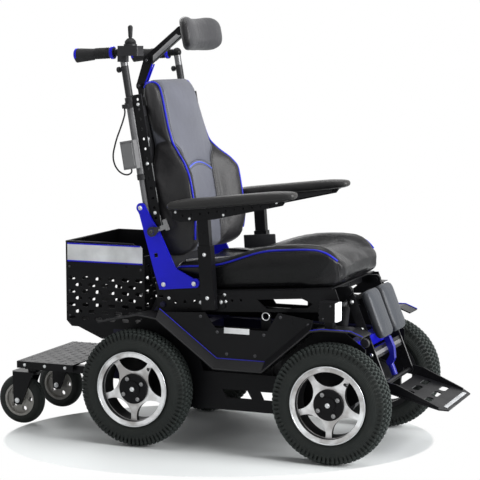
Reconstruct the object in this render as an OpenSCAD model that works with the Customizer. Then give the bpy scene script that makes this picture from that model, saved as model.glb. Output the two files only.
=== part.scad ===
// Four-wheel-drive all terrain wheelchair with attendant platform.
// X points forward, Y to the chair's left, Z up. The floor is Z = 0.

/* [Drive wheels] */
// Distance between front and rear axles
wheelbase = 622; // [600:1:680]
// Distance between the tyre centres of one axle
track = 533; // [525:1:570]
// Outer diameter of a drive tyre
tyre_od = 358; // [345:1:362]
// Width of a drive tyre
tyre_w = 76; // [70:1:80]
// Outer diameter of the rim flange
rim_d = 230; // [220:1:236]
// Height of the tread lugs at the crown
lug_h = 6; // [4:0.5:8]
// Number of tread lugs in each row
lug_count = 36; // [24:1:44]
// Width of the groove between two lugs
groove_w = 9; // [6:0.5:12]
// Number of spokes
spoke_count = 5; // [5:1:6]
// Thickness of the spoke disc
spoke_t = 14; // [10:1:18]
// Radius of the black hub cap
hub_r = 46; // [42:1:48]
// Radius of the drive shaft
shaft_r = 10; // [8:0.5:12]

/* [Rear platform] */
// Distance of the caster axles behind the middle of the wheelbase
caster_x = 785; // [770:1:820]
// Diameter of a caster
caster_od = 160; // [150:1:166]
// Width of a caster tyre
caster_w = 44; // [36:1:48]
// Distance between the caster swivel axes
caster_track = 262; // [258:1:280]
// Distance from the swivel axis back to the axle
caster_trail = 45; // [38:1:46]
// Width of the platform deck
deck_w = 380; // [370:1:400]
// Length of the platform deck
deck_l = 200; // [195:1:215]
// Height of the top of the deck
deck_top = 214; // [212:1:222]
// Height of the skirt of the deck
skirt_h = 22; // [18:1:24]

/* [Chassis] */
// Clear width between the two chassis side plates
chassis_w = 392; // [386:1:394]
// Thickness of a chassis side plate
plate_t = 6; // [4:0.5:6]
// Height of the lower edge of the side plates
belly_z = 118; // [110:1:130]
// Height of the side plates under the seat
chassis_z = 372; // [366:1:376]
// Side of the square frame tubes
tube = 34; // [28:1:36]
// Wall of the frame tubes
tube_wall = 3; // [2:0.5:5]
// Outer width over both fairing ledges
fairing_w = 572; // [564:1:580]
// Sheet thickness of the fairings
sheet = 4; // [3:0.5:5]

/* [Basket] */
// Length of the basket
basket_l = 270; // [260:1:280]
// Width of the basket
basket_w = 370; // [350:1:374]
// Height of the basket
basket_h = 266; // [250:1:280]
// Sheet thickness of the basket panels
basket_t = 3; // [2:0.5:4]
// Corner cut off the front of the basket, clear of the tilted back
basket_cut = 40; // [34:1:44]
// Length of one slot in the basket wall
slot_l = 24; // [18:1:26]
// Width of one slot in the basket wall
slot_w = 11; // [8:1:13]

/* [Seat] */
// Height of the tilt pivot above the floor
tilt_z = 430; // [426:1:440]
// Upward pitch of the seat towards the front
seat_pitch = 4.1; // [3:0.1:5]
// Clear width between the seat side plates
seat_w = 416; // [410:1:420]
// Thickness of a seat side plate
seat_plate_t = 5; // [4:0.5:6]
// Length of the seat side plates
seat_l = 566; // [556:1:580]
// Thickness of the seat pan
pan_t = 4; // [3:0.5:6]
// Height of the thigh bolsters above the pan
bolster_h = 118; // [105:1:125]
// Diameter of the recline and tilt pivot pins
pivot_d = 16; // [12:1:18]

/* [Backrest] */
// Rearward rake of the backrest from the vertical
back_rake = 9.5; // [8:0.5:12]
// Height of the back cushion above the recline pivot
back_h = 456; // [440:1:470]
// Half width of the back cushion's front at its top
back_top_hw = 118; // [110:1:145]
// Half width of the back cushion above its wings
back_waist_hw = 145; // [140:1:160]
// Half width of the lower back cushion
back_low_hw = 203; // [190:1:204]
// Radius of the handle posts
post_r = 11; // [9:0.5:12]
// Length of the push handles behind their posts
handle_l = 158; // [140:1:175]

/* [Arm supports] */
// Length of an arm pad
pad_l = 410; // [380:1:430]
// Width of an arm pad
pad_w = 62; // [54:1:64]
// Height of the arm pads above the tilt pivot
arm_h = 286; // [280:1:300]
// Outer length of the arm receivers along the seat
receiver_l = 42; // [38:1:46]
// Outer width of the arm receivers
receiver_w = 30; // [26:1:32]

/* [Leg support] */
// Forward rake of the leg rails from the vertical
leg_rake = 21.8; // [18:0.5:25]
// Length of the leg rails from knee to foot hinge
leg_l = 296; // [290:1:310]
// Inner half width between the leg rails
leg_hw = 132; // [130:1:136]
// Length of the footplate
foot_l = 205; // [190:1:215]
// Downward slope of the footplate
foot_slope = 14; // [8:1:16]

/* [Clearances] */
// Radial running clearance of a pin in its hole
run_fit = 0.05; // [0.02:0.01:0.08]
// Clearance between sliding or neighbouring bodies
gap = 0.4; // [0.3:0.05:0.6]

/* [Hidden] */
$fn = 48;
black = [0.05, 0.05, 0.055];
satin = [0.10, 0.10, 0.11];
blue = [0.05, 0.10, 0.75];
silver = [0.72, 0.73, 0.74];
hide = [0.16, 0.16, 0.18];

// Overall ends, which centre the part on its own footprint
rear_end = -caster_x - caster_od / 2;
tyre_r = tyre_od / 2;

// Drive wheel section
carcass_r = tyre_w / 2;
tyre_mid_r = tyre_r - lug_h - carcass_r;
crown_r = 62;
tread_hw = carcass_r - 4;
tyre_wall = 7;
flange_r = rim_d / 2;
seat_r = flange_r - 11;
barrel_t = 5;
rim_hw = carcass_r;
flange_t = 3.5;
disc_z0 = 8;
disc_z1 = disc_z0 + spoke_t;
rim_bore_r = 30;
window_out_r = flange_r - 18;
window_in_r = hub_r + 7;
hub_cap_t = 8;
hub_pcd = 69;
hub_bolt_r = 6.5;

// Motors and chassis planes, measured from the centre plane
plate_in = chassis_w / 2;
plate_out = plate_in + plate_t;
nose_r = 26;
nose_out = track / 2 - rim_hw - 5;
motor_in = 42;
gearbox_r = 46;
gearbox_l = 68;
motor_r = 38;
motor_flange_r = 52;
motor_flange_t = 8;
shaft_end = plate_in - 2;
axle_x = wheelbase / 2;
tilt_x = axle_x + 9 - seat_l;

// Frame tubes under the basket and the seat
basket_z0 = 338;
rail_top = basket_z0;
rail_y = 150;
basket_x1 = tilt_x - 76;
basket_x0 = basket_x1 - basket_l;
rail_rear = basket_x1 - 108;
rail_front = axle_x + 34;

// Platform hinge and casters
hinge_x = -axle_x - 119;
hinge_z = 198;
hinge_r = 9;
arm_w = 26;
arm_y = deck_w / 2 - arm_w - 17;
arm_hh = 12;
ear_t = 7;
swivel_x = -caster_x + caster_trail;
stem_r = 10;
socket_r = 20;
crown_z = caster_od + 5;
crown_t = 8;
deck_x0 = -caster_x + 15;
deck_x1 = deck_x0 + deck_l;
deck_t = 4;
caster_axle_r = 6;
caster_rim_r = caster_od / 2 - 27;
fork_gap = caster_w / 2 + 3;
fork_t = 5;

// Fairing ledge line, from the rear mudguard to the front mudguard
ledge_out = fairing_w / 2;
panel_y = ledge_out - 32;
arch_rear = tyre_od + 44;
arch_front = tyre_od + 34;
ledge = [[-axle_x - 121, arch_rear - 30], [-axle_x + 11, arch_rear], [-axle_x + 73, arch_rear - 8],
  [-axle_x + 259, 256], [axle_x - 211, 256], [axle_x - 61, arch_front - 6], [axle_x - 26, arch_front],
  [axle_x + 61, arch_front], [axle_x + 97, arch_front - 14]];
panel_top = [[axle_x - 61, arch_front + 24], [axle_x - 169, 432], [axle_x - 203, chassis_z + 4],
  [-axle_x + 253, chassis_z + 4], [-axle_x + 221, 420], [-axle_x + 73, 413]];
bevel = 26;

// Headlights
lamp_x = axle_x + 7;
lamp_l = 48;
lamp_y0 = 217;
lamp_y1 = 262;
lamp_z0 = 414;
lamp_h = 58;
lens_t = 6;

// Tie-down eyes on the side plates
eye_x = axle_x - 226;
eye_z = 411;
eye_r = 9;
eye_t = 5.5;

// Seat frame: places along the seat from the tilt pivot
tilt_r = pivot_d / 2;
side_in = seat_w / 2;
side_out = side_in + seat_plate_t;
side_top = 35;
pan_top = side_top + 3;
rec_x = -14;
rec_z = 222;
bracket_y = side_out + 1;
bracket_t = 6;
receiver_x = 160;
receiver_y = side_out + 2;
receiver_z0 = -16;
receiver_z1 = 175;
receiver_wall = 3;
knee_x = seat_l;
knee_z = 20;
knee_r = 7;
rail_t = 8;
leg_rail_w = 26;

// Tilt actuator, hinged on the chassis and free at the seat end
act_x = axle_x - 73;
act_z = 235;
act_top_x = seat_l - 61;
act_top_z = -14;
act_r = 22;
act_l = 190;
rod_r = 12;
act_pin_r = 8;
act_open = 5;

// Seat end of the actuator in the chair's own frame
act_wx = tilt_x + act_top_x * cos(seat_pitch) - act_top_z * sin(seat_pitch);
act_wz = tilt_z + act_top_x * sin(seat_pitch) + act_top_z * cos(seat_pitch);
act_len = sqrt((act_wx - act_x) ^ 2 + (act_wz - act_z) ^ 2);
act_lean = atan2(act_wx - act_x, act_wz - act_z);

// Backrest: places up the back from the recline pivot
back_y = side_in - 2;
back_rail_t = 6;
back_rail_x0 = -2;
back_rail_w = 28;
back_rail_top = 415;
post_x = -17;
post_y = 200;
post_top = 548;
sleeve_r = 14;
sleeve_z0 = 170;
sleeve_z1 = 400;
shell_x0 = -2;
shell_t = 6;
cushion_x0 = shell_x0 + shell_t;
handle_r = 11;
grip_r = 16;
grip_l = 132;

// Control box and its cable on the right post
box_x0 = -54;
box_x1 = -10;
box_z0 = 196;
box_z1 = 282;
box_w = 26;
cable_r = 2.5;
cable_y = -228;
cable_route = [[-26, 379], [-27, 366], [-36, 346], [-50, 322], [-66, 296], [-79, 270], [-88, 246],
  [-89, 224], [-82, 203], [-70, 189], [-56, 182], [-44, 182], [-36, 187], [-34, 196]];

// Headrest hardware behind the back shell
head_foot_x = -66;
head_foot_z = 300;
head_pivot = [-66, 450];
head_elbow = [-28, 524];
head_end = [97, 594];

// Joystick on the right post
stick_y = -228;
stick_x = 26;
stick_z = 560;

// Leg support
foot_hw = leg_hw + rail_t + 12;
foot_t = 4;
foot_drop = 14;

// Footplate tip in the chair's own frame gives the front end
knee_wx = tilt_x + knee_x * cos(seat_pitch) - knee_z * sin(seat_pitch);
foot_wx = knee_wx + leg_l * sin(leg_rake);
front_end = foot_wx + foot_l * cos(foot_slope) + (foot_t - foot_drop) * sin(foot_slope);
x_shift = -(rear_end + front_end) / 2;

// Frames of the moving groups
module place() {
  translate([x_shift, 0, 0]) children();
}
module in_seat() {
  translate([tilt_x, 0, tilt_z]) rotate([0, -seat_pitch, 0]) children();
}
module in_back() {
  in_seat() translate([rec_x, 0, rec_z]) rotate([0, seat_pitch - back_rake, 0]) children();
}
module in_leg() {
  in_seat() translate([knee_x, 0, knee_z]) rotate([0, seat_pitch - leg_rake, 0]) children();
}
module in_foot() {
  in_leg() translate([0, 0, -leg_l]) rotate([0, leg_rake + foot_slope, 0]) children();
}
module mirrored(side) {
  if (side > 0) children();
  else mirror([0, 1, 0]) children();
}
module both() {
  for (side = [-1, 1]) mirrored(side) children();
}

// A sheet drawn in the XZ plane, reaching from y0 to y0 + t
module sheet_xz(y0, t) {
  translate([0, y0 + t, 0]) rotate([90, 0, 0]) linear_extrude(t) children();
}
// A round bar along Y from y0 to y1
module bar_y(x, z, r, y0, y1) {
  translate([x, y0, z]) rotate([-90, 0, 0]) cylinder(h = y1 - y0, r = r);
}
// A block given by its two corners
module block(low, high) {
  translate(low) cube(high - low);
}
// An obround slot of overall length l and width w
module obround(l, w) {
  square([l - w, w], center = true);
  for (s = [-1, 1]) translate([s * (l - w) / 2, 0]) circle(d = w);
}
// A rounded bar between two points of a sheet
module link_2d(a, b, w) {
  d = b - a;
  translate(a) rotate(atan2(d[1], d[0])) translate([0, -0.48 * w]) square([norm(d), 0.96 * w]);
  translate(a) circle(d = w);
  translate(b) circle(d = w);
}

// A closed skin over rings of points, each ring with the same count
module loft(rings) {
  n = len(rings[0]);
  m = len(rings);
  points = [for (ring = rings) each ring];
  sides = [for (i = [0 : m - 2], j = [0 : n - 1], k = [0, 1])
    k == 0 ? [i * n + j, (i + 1) * n + j, i * n + (j + 1) % n]
           : [i * n + (j + 1) % n, (i + 1) * n + j, (i + 1) * n + (j + 1) % n]];
  first = [for (j = [1 : n - 2]) [0, j, j + 1]];
  last = [for (j = [1 : n - 2]) [(m - 1) * n, (m - 1) * n + j + 1, (m - 1) * n + j]];
  polyhedron(points = points, faces = concat(first, sides, last));
}
// A rounded rectangle of points: half width a, half height b, squareness q
function squarish(a, b, n, q = 0.55) = [for (i = [0 : n - 1])
  let (t = 360 * i / n, c = cos(t), s = sin(t))
  [a * sign(c) * pow(abs(c), q), b * sign(s) * pow(abs(s), q)]];
// Smooth step from 0 to 1 while v runs from a to b
function ease(v, a, b) = let (t = min(1, max(0, (v - a) / (b - a)))) t * t * (3 - 2 * t);
// Rounded end of a soft form: 0 at the end, 1 at distance r
function round_in(d, r) = d >= r ? 1 : sqrt(max(0, 1 - pow(1 - d / r, 2)));

// Drive wheels, drawn with the axle along Z and the outside up
module at_wheel(end, side) {
  translate([end * axle_x, side * track / 2, tyre_r]) rotate([-90 * side, 0, 0]) children();
}
module tyre_section() {
  difference() {
    union() {
      translate([tyre_mid_r, 0]) circle(carcass_r);
      translate([seat_r, -rim_hw + flange_t + gap / 2])
        square([flange_r - seat_r, 2 * (rim_hw - flange_t) - gap]);
    }
    translate([tyre_mid_r, 0]) circle(carcass_r - tyre_wall);
    translate([0, -carcass_r / 2]) square([tyre_mid_r, carcass_r]);
    translate([0, -tyre_w]) square([seat_r, 2 * tyre_w]);
    for (s = [0, 1]) mirror([0, s])
      translate([0, rim_hw - flange_t - gap / 2]) square([flange_r + gap / 2, tyre_w]);
  }
}
module tread_section() {
  difference() {
    intersection() {
      translate([tyre_r - crown_r, 0]) circle(crown_r);
      translate([tyre_mid_r, -tread_hw]) square([tyre_od, 2 * tread_hw]);
    }
    translate([tyre_mid_r, 0]) circle(carcass_r - 2);
  }
}
module tyre() {
  pitch = 360 / lug_count;
  color(black) union() {
    rotate_extrude() tyre_section();
    difference() {
      rotate_extrude() tread_section();
      for (i = [0 : lug_count - 1], s = [0, 1])
        mirror([0, 0, s]) rotate((i + s / 2) * pitch)
          translate([tyre_mid_r, -groove_w / 2, 1]) cube([tyre_od, groove_w, tyre_w]);
      translate([0, 0, -1]) difference() {
        cylinder(h = 2, r = tyre_od);
        translate([0, 0, -1]) cylinder(h = 4, r = tyre_r - lug_h + 1);
      }
    }
  }
}
module rim_section() {
  translate([seat_r - barrel_t, -rim_hw]) square([barrel_t, 2 * rim_hw]);
  for (s = [0, 1]) mirror([0, s])
    translate([seat_r - barrel_t, rim_hw - flange_t]) square([flange_r - seat_r + barrel_t, flange_t]);
}
// A lens-shaped window between two spokes: outer arc of the rim, inner arc bulging to the hub
module spoke_window() {
  half = 180 / spoke_count - 6;
  corner = window_out_r * [cos(half), sin(half)];
  mid = (pow(window_in_r, 2) - pow(window_out_r, 2)) / (2 * (window_in_r - corner[0]));
  intersection() {
    circle(window_out_r);
    translate([mid, 0]) circle(mid - window_in_r);
  }
}
module rim() {
  color(silver) union() {
    rotate_extrude() rim_section();
    translate([0, 0, disc_z0]) linear_extrude(spoke_t) difference() {
      circle(seat_r - barrel_t / 2);
      circle(rim_bore_r);
      for (i = [0 : spoke_count - 1]) rotate((i + 0.25) * 360 / spoke_count) spoke_window();
    }
  }
}
module hub() {
  color(black) union() {
    translate([0, 0, disc_z1]) cylinder(h = hub_cap_t - 2, r = hub_r);
    translate([0, 0, disc_z1 + hub_cap_t - 2]) cylinder(h = 2, r1 = hub_r, r2 = hub_r - 2);
    translate([0, 0, disc_z1 + 3]) cylinder(h = hub_cap_t, r = hub_r / 2);
    translate([0, 0, disc_z1 + 4]) cylinder(h = hub_cap_t + 1, r = hub_bolt_r);
    for (i = [0 : 3]) rotate(90 * i + 30) translate([hub_pcd / 2, 0, disc_z1 + 3])
      cylinder(h = hub_cap_t, r = hub_bolt_r);
    translate([0, 0, disc_z0 - 4]) cylinder(h = disc_z1 - disc_z0 + 5, r = rim_bore_r - gap / 2);
    translate([0, 0, disc_z0 - 8]) cylinder(h = 8, r = rim_bore_r + 12);
    translate([0, 0, shaft_end - track / 2]) cylinder(h = track / 2 - shaft_end + 4, r = shaft_r);
  }
}

// Chassis
module tube_x(x0, x1, y, z) {
  difference() {
    block([x0, y - tube / 2, z - tube / 2], [x1, y + tube / 2, z + tube / 2]);
    block([x0 - 1, y - tube / 2 + tube_wall, z - tube / 2 + tube_wall],
      [x1 + 1, y + tube / 2 - tube_wall, z + tube / 2 - tube_wall]);
  }
}
module cross_tube(x, z) {
  block([x - tube / 2, -plate_in, z - tube / 2], [x + tube / 2, plate_in, z + tube / 2]);
}
low_tube_z = 172;
hinge_tube_x = hinge_x + 40;
upper_tubes = [-axle_x - 34, -axle_x + 96, axle_x - 123, rail_front - tube / 2];
// Side rail in lengths of hollow tube, butted against the cross tubes
module rail_lengths() {
  difference() {
    block([rail_rear, rail_y, rail_top - tube], [rail_front, rail_y + tube, rail_top]);
    for (x = upper_tubes) block([x - tube / 2 - run_fit, rail_y - 1, rail_top - tube - 1],
      [x + tube / 2 + run_fit, rail_y + tube + 1, rail_top + 1]);
    block([rail_rear - 1, rail_y + tube_wall, rail_top - tube + tube_wall],
      [rail_front - tube, rail_y + tube - tube_wall, rail_top - tube_wall]);
  }
}
module chassis_frame() {
  rail_z = rail_top - tube / 2;
  color(blue) union() {
    both() rail_lengths();
    for (x = upper_tubes) cross_tube(x, rail_z);
    for (x = [-axle_x + 161, axle_x - 161, act_x]) cross_tube(x, low_tube_z);
    cross_tube(hinge_tube_x, hinge_z);
    both() for (y = [arm_y - ear_t - gap, arm_y + arm_w + gap]) sheet_xz(y, ear_t) union() {
      translate([hinge_x, hinge_z]) circle(hinge_r + 8);
      translate([hinge_x, hinge_z - hinge_r - 8]) square([hinge_tube_x - hinge_x, 2 * hinge_r + 16]);
    }
    both() bar_y(hinge_x, hinge_z, hinge_r, arm_y - ear_t - gap, arm_y + arm_w + ear_t + gap);
    both() sheet_xz(act_r / 2 + 3, 8) union() {
      translate([act_x, act_z]) circle(act_pin_r + 9);
      translate([act_x - act_pin_r - 9, low_tube_z]) square([2 * act_pin_r + 18, act_z - low_tube_z]);
    }
    bar_y(act_x, act_z, act_pin_r, -act_r / 2 - 11, act_r / 2 + 11);
    both() tilt_bracket();
  }
}
module side_plate_outline() {
  k = axle_x / 311;
  difference() {
    polygon([[-axle_x - 89, 200], [-axle_x - 89, 318], [tilt_x - 54, 392], [tilt_x - 26, tilt_z + 18],
      [tilt_x + 26, tilt_z + 18], [tilt_x + 42, 392], [tilt_x + 66, chassis_z], [axle_x - 207, chassis_z],
      [axle_x - 179, 398], [axle_x - 11, 398], [axle_x + 81, 330], [axle_x + 81, 190],
      [axle_x - 11, belly_z + 8], [axle_x - 181, belly_z], [-axle_x + 181, belly_z],
      [-axle_x + 11, belly_z + 8]]);
    polygon(k * [[-58, 181 / k], [24, 181 / k], [38, 156 / k], [-44, 156 / k]]);
    polygon(k * [[64, 181 / k], [120, 181 / k], [104, 156 / k], [76, 156 / k]]);
    polygon(k * [[-140, 300 / k], [140, 300 / k], [120, 232 / k], [-120, 232 / k]]);
    for (x = [-axle_x, axle_x]) translate([x, tyre_r]) circle(nose_r + gap / 2);
  }
}
module chassis_side_plates() {
  color(satin) both() sheet_xz(plate_in, plate_t) side_plate_outline();
}
module power_pack() {
  top = rail_top - tube;
  low = low_tube_z + tube / 2;
  color(satin) {
    both() difference() {
      block([-axle_x + 123, 3, low], [axle_x - 123, rail_y - 4, top - 4]);
      for (x = [-150 : 30 : 150]) block([x - 4, rail_y - 7, low + 14], [x + 4, rail_y, top - 18]);
    }
    block([-axle_x - 27, -100, top - 44], [-axle_x + 89, 100, top]);
    for (y = [-84 : 24 : 84]) block([-axle_x - 27, y - 4, top - 56], [-axle_x + 89, y + 4, top - 44]);
  }
}
module gear_motor() {
  color(satin) difference() {
    union() {
      bar_y(0, 0, nose_r, plate_in - 1, nose_out);
      bar_y(0, 0, motor_flange_r, plate_in - motor_flange_t, plate_in);
      bar_y(0, 0, gearbox_r, plate_in - motor_flange_t - gearbox_l, plate_in - motor_flange_t);
      bar_y(0, 0, motor_r, motor_in, plate_in - motor_flange_t - gearbox_l);
      bar_y(0, 0, motor_r - 8, motor_in - 12, motor_in);
    }
    bar_y(0, 0, shaft_r + run_fit, shaft_end - 3, nose_out + 1);
  }
}
module gear_motors() {
  both() for (x = [-axle_x, axle_x]) translate([x, 0, tyre_r]) gear_motor();
}
// One length of the bevelled ledge, from the panel out to the ledge's edge
module bevel_strip(a, b) {
  hull() {
    for (p = [a, b]) {
      translate([p[0], ledge_out - 3, p[1]]) cube([0.5, 3, 3]);
      translate([p[0], panel_y, p[1] + bevel]) cube([0.5, sheet, 2]);
    }
  }
}
module side_fairing() {
  n = len(ledge);
  color(satin) union() {
    sheet_xz(plate_out, ledge_out - plate_out) polygon(concat(
      ledge, [for (i = [n - 1 : -1 : 0]) ledge[i] + [0, sheet]]));
    sheet_xz(panel_y, sheet) polygon(concat(
      [for (i = [2 : 5]) ledge[i] + [0, sheet / 2]], panel_top));
    for (i = [2 : 4]) bevel_strip(ledge[i] + [0, sheet / 2], ledge[i + 1] + [0, sheet / 2]);
  }
}
module headlight_housing() {
  color(satin) union() {
    block([lamp_x - lamp_l, lamp_y0, lamp_z0], [lamp_x, lamp_y1, lamp_z0 + lamp_h]);
    block([lamp_x - 34, lamp_y0 + 6, arch_front + sheet], [lamp_x - 10, lamp_y1 - 10, lamp_z0]);
    for (z = [10 : 12 : lamp_h - 10]) block([lamp_x - lamp_l - 4, lamp_y0 + 4, lamp_z0 + z],
      [lamp_x - lamp_l, lamp_y1 - 4, lamp_z0 + z + 5]);
  }
}
module headlight_housings() {
  both() headlight_housing();
}
module headlight_lenses() {
  color("white") both()
    block([lamp_x, lamp_y0 + 2, lamp_z0 + 2], [lamp_x + lens_t, lamp_y1 - 2, lamp_z0 + lamp_h - 2]);
}
module tilt_bracket() {
  sheet_xz(plate_out, side_in - gap - plate_out) union() {
    translate([tilt_x, tilt_z]) circle(tilt_r + 10);
    polygon([[tilt_x - tilt_r - 10, tilt_z], [tilt_x + tilt_r + 10, tilt_z],
      [tilt_x + 34, arch_rear + sheet + 8], [tilt_x - 34, arch_rear + sheet + 2]]);
  }
  bar_y(tilt_x, tilt_z, tilt_r, plate_out, side_out + 8);
}
module tie_down_eyes() {
  color(silver) both() sheet_xz(plate_out, eye_t) difference() {
    union() {
      translate([eye_x, eye_z]) circle(eye_r + 6);
      translate([eye_x - eye_r - 6, chassis_z - 26]) square([2 * eye_r + 12, eye_z - chassis_z + 26]);
    }
    translate([eye_x, eye_z]) circle(eye_r);
  }
}

// Basket, as folded and bolted panels
module slot_field(w, z0, z1) {
  pitch_x = slot_l + 22;
  pitch_z = slot_w + 31;
  cols = floor((w - slot_l - 8) / pitch_x);
  rows = floor((z1 - z0 - slot_w) / pitch_z);
  for (k = [0, 1], i = [0 : cols - k], j = [0 : rows - k])
    translate([(i - cols / 2 + k / 2) * pitch_x,
      z0 + slot_w / 2 + (j + k / 2) * pitch_z]) obround(slot_l, slot_w);
}
module basket_side_outline() {
  mid = (basket_x0 + basket_x1) / 2;
  difference() {
    polygon([[basket_x0 + 18, basket_z0], [basket_x1, basket_z0],
      [basket_x1, basket_z0 + basket_h - basket_cut],
      [basket_x1 - basket_cut, basket_z0 + basket_h], [basket_x0, basket_z0 + basket_h],
      [basket_x0, basket_z0 + 18]]);
    translate([mid, 0]) slot_field(basket_l, basket_z0 + 22, basket_z0 + basket_h - 76);
  }
}
module basket_end(x, cut) {
  w = basket_w - 2 * basket_t;
  low = basket_z0 + basket_t + 16;
  translate([x, 0, 0]) rotate([90, 0, 90]) linear_extrude(basket_t) difference() {
    translate([-w / 2, low]) square([w, basket_z0 + basket_h - cut - low]);
    slot_field(w, basket_z0 + 30, basket_z0 + basket_h - 76);
  }
}
module basket_panels() {
  color(satin) {
    both() sheet_xz(basket_w / 2 - basket_t, basket_t) basket_side_outline();
    basket_end(basket_x0, 0);
    basket_end(basket_x1 - basket_t, basket_cut);
  }
}
module basket_floor() {
  w = basket_w / 2 - basket_t;
  color(satin) union() {
    block([basket_x0 + 18, -w, basket_z0], [basket_x1, w, basket_z0 + basket_t]);
    block([basket_x1 - basket_t, -w, basket_z0], [basket_x1, w, basket_z0 + basket_t + 16]);
    block([basket_x0, -w, basket_z0 + 18], [basket_x0 + basket_t, w, basket_z0 + basket_t + 16]);
    translate([0, w, 0]) rotate([90, 0, 0]) linear_extrude(2 * w) polygon([
      [basket_x0 + 18, basket_z0], [basket_x0, basket_z0 + 18], [basket_x0, basket_z0 + 16 + basket_t],
      [basket_x0 + basket_t, basket_z0 + 16 + basket_t], [basket_x0 + 18 + basket_t, basket_z0 + basket_t],
      [basket_x0 + 18 + basket_t, basket_z0]]);
    both() sheet_xz(rail_y, tube) polygon([[basket_x0 + 40, basket_z0], [rail_rear, basket_z0],
      [rail_rear, basket_z0 - tube], [rail_rear - 40, basket_z0 - tube]]);
  }
}

// Rear platform and casters
module platform_deck() {
  color(satin) difference() {
    block([deck_x0, -deck_w / 2, deck_top - skirt_h], [deck_x1, deck_w / 2, deck_top]);
    block([deck_x0 + deck_t, -deck_w / 2 + deck_t, deck_top - skirt_h - 1],
      [deck_x1 + 1, deck_w / 2 - deck_t, deck_top - deck_t]);
  }
}
module platform_frame() {
  top = deck_top - deck_t;
  color(satin) difference() {
    union() {
      both() {
        block([deck_x0 + 20, arm_y, top - 2 * arm_hh], [hinge_x - arm_hh, arm_y + arm_w, top]);
        sheet_xz(arm_y, arm_w) union() {
          translate([hinge_x, hinge_z]) circle(hinge_r + 5);
          translate([hinge_x - 40, top - 2 * arm_hh]) square([40, 2 * arm_hh]);
        }
        translate([swivel_x, caster_track / 2, crown_z + crown_t + gap])
          cylinder(h = top - crown_z - crown_t - gap, r = socket_r);
      }
      block([swivel_x - socket_r, -arm_y - 1, top - 2 * arm_hh], [swivel_x + socket_r, arm_y + 1, top]);
    }
    both() {
      bar_y(hinge_x, hinge_z, hinge_r + run_fit, arm_y - 1, arm_y + arm_w + 1);
      translate([swivel_x, caster_track / 2, 0]) cylinder(h = top - 3, r = stem_r + run_fit);
    }
  }
}
module at_caster(side) {
  translate([-caster_x, side * caster_track / 2, caster_od / 2]) children();
}
module caster_fork(side) {
  low = caster_od / 2;
  color(black) at_caster(side) union() {
    translate([caster_trail, 0, crown_z - low]) cylinder(h = deck_top - deck_t - 4 - crown_z, r = stem_r);
    intersection() {
      block([-socket_r - 4, -fork_gap - fork_t, crown_z - low],
        [caster_trail + socket_r, fork_gap + fork_t, crown_z - low + crown_t]);
      translate([caster_trail / 2 - 2, 0, 0]) cylinder(h = caster_od, r = caster_trail / 2 + socket_r + 6);
    }
    both() sheet_xz(fork_gap, fork_t) polygon([[-15, -12], [12, -14], [caster_trail + 8, crown_z - low],
      [-socket_r + 2, crown_z - low]]);
    both() bar_y(0, 0, 15, fork_gap, fork_gap + fork_t);
    bar_y(0, 0, caster_axle_r, -fork_gap - fork_t - 4, fork_gap + fork_t + 4);
  }
}
module caster_tyre(side) {
  r = caster_od / 2;
  color(black) at_caster(side) rotate([90, 0, 0]) rotate_extrude() difference() {
    union() {
      translate([r - caster_w / 2, 0]) circle(caster_w / 2);
      translate([caster_rim_r, -caster_w / 2 + 4]) square([r - caster_rim_r - caster_w / 2, caster_w - 8]);
    }
    translate([0, -caster_w]) square([caster_rim_r, 2 * caster_w]);
    for (s = [-1, 1]) translate([r + 1, s * caster_w / 6]) circle(3.5);
  }
}
module caster_rim(side) {
  color([0.6, 0.58, 0.54]) at_caster(side) rotate([90, 0, 0]) difference() {
    union() {
      rotate_extrude() translate([caster_rim_r - 7, -caster_w / 2 + 3]) square([7, caster_w - 6]);
      translate([0, 0, -6]) cylinder(h = 12, r = caster_rim_r - 3);
      cylinder(h = 2 * fork_gap - 2 * gap, r = 14, center = true);
    }
    cylinder(h = caster_od, r = caster_axle_r + run_fit, center = true);
    for (i = [0 : 4]) rotate(72 * i) translate([(caster_rim_r + 8) / 2 + 2, 0, -10]) cylinder(h = 20, r = 8);
  }
}

// Seat frame
module side_rail_outline() {
  difference() {
    union() {
      polygon([[-20, -20], [200, -26], [seat_l - 14, -33], [seat_l - 4, 0], [seat_l - 14, side_top],
        [140, side_top],
        [126, 76], [-20, 76]]);
      circle(20);
    }
    circle(tilt_r + run_fit);
    polygon([[0.541 * seat_l, 9], [0.792 * seat_l, 9], [0.848 * seat_l, -7], [0.816 * seat_l, -19],
      [0.59 * seat_l, -19]]);
    for (x = [40, 72, 104]) translate([x, 6]) circle(5);
    for (x = [0.4, 0.449]) translate([x * seat_l, 8]) circle(4);
    for (z = [24, 50]) translate([-6, z]) obround(16, 8);
  }
}
module arm_receiver() {
  difference() {
    block([receiver_x - receiver_l / 2, receiver_y, receiver_z0],
      [receiver_x + receiver_l / 2, receiver_y + receiver_w, receiver_z1]);
    block([receiver_x - receiver_l / 2 + receiver_wall, receiver_y + receiver_wall, receiver_z0 + 6],
      [receiver_x + receiver_l / 2 - receiver_wall, receiver_y + receiver_w - receiver_wall,
        receiver_z1 + 1]);
  }
  block([receiver_x - receiver_l / 2 - 22, side_out - 1, receiver_z0 + 2],
    [receiver_x + receiver_l / 2 + 22, receiver_y + 4, receiver_z0 + 40]);
}
module seat_side_plates() {
  color(satin) both() in_seat() {
    difference() {
      union() {
        sheet_xz(side_in, seat_plate_t) side_rail_outline();
        arm_receiver();
      }
    }
  }
}
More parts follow.
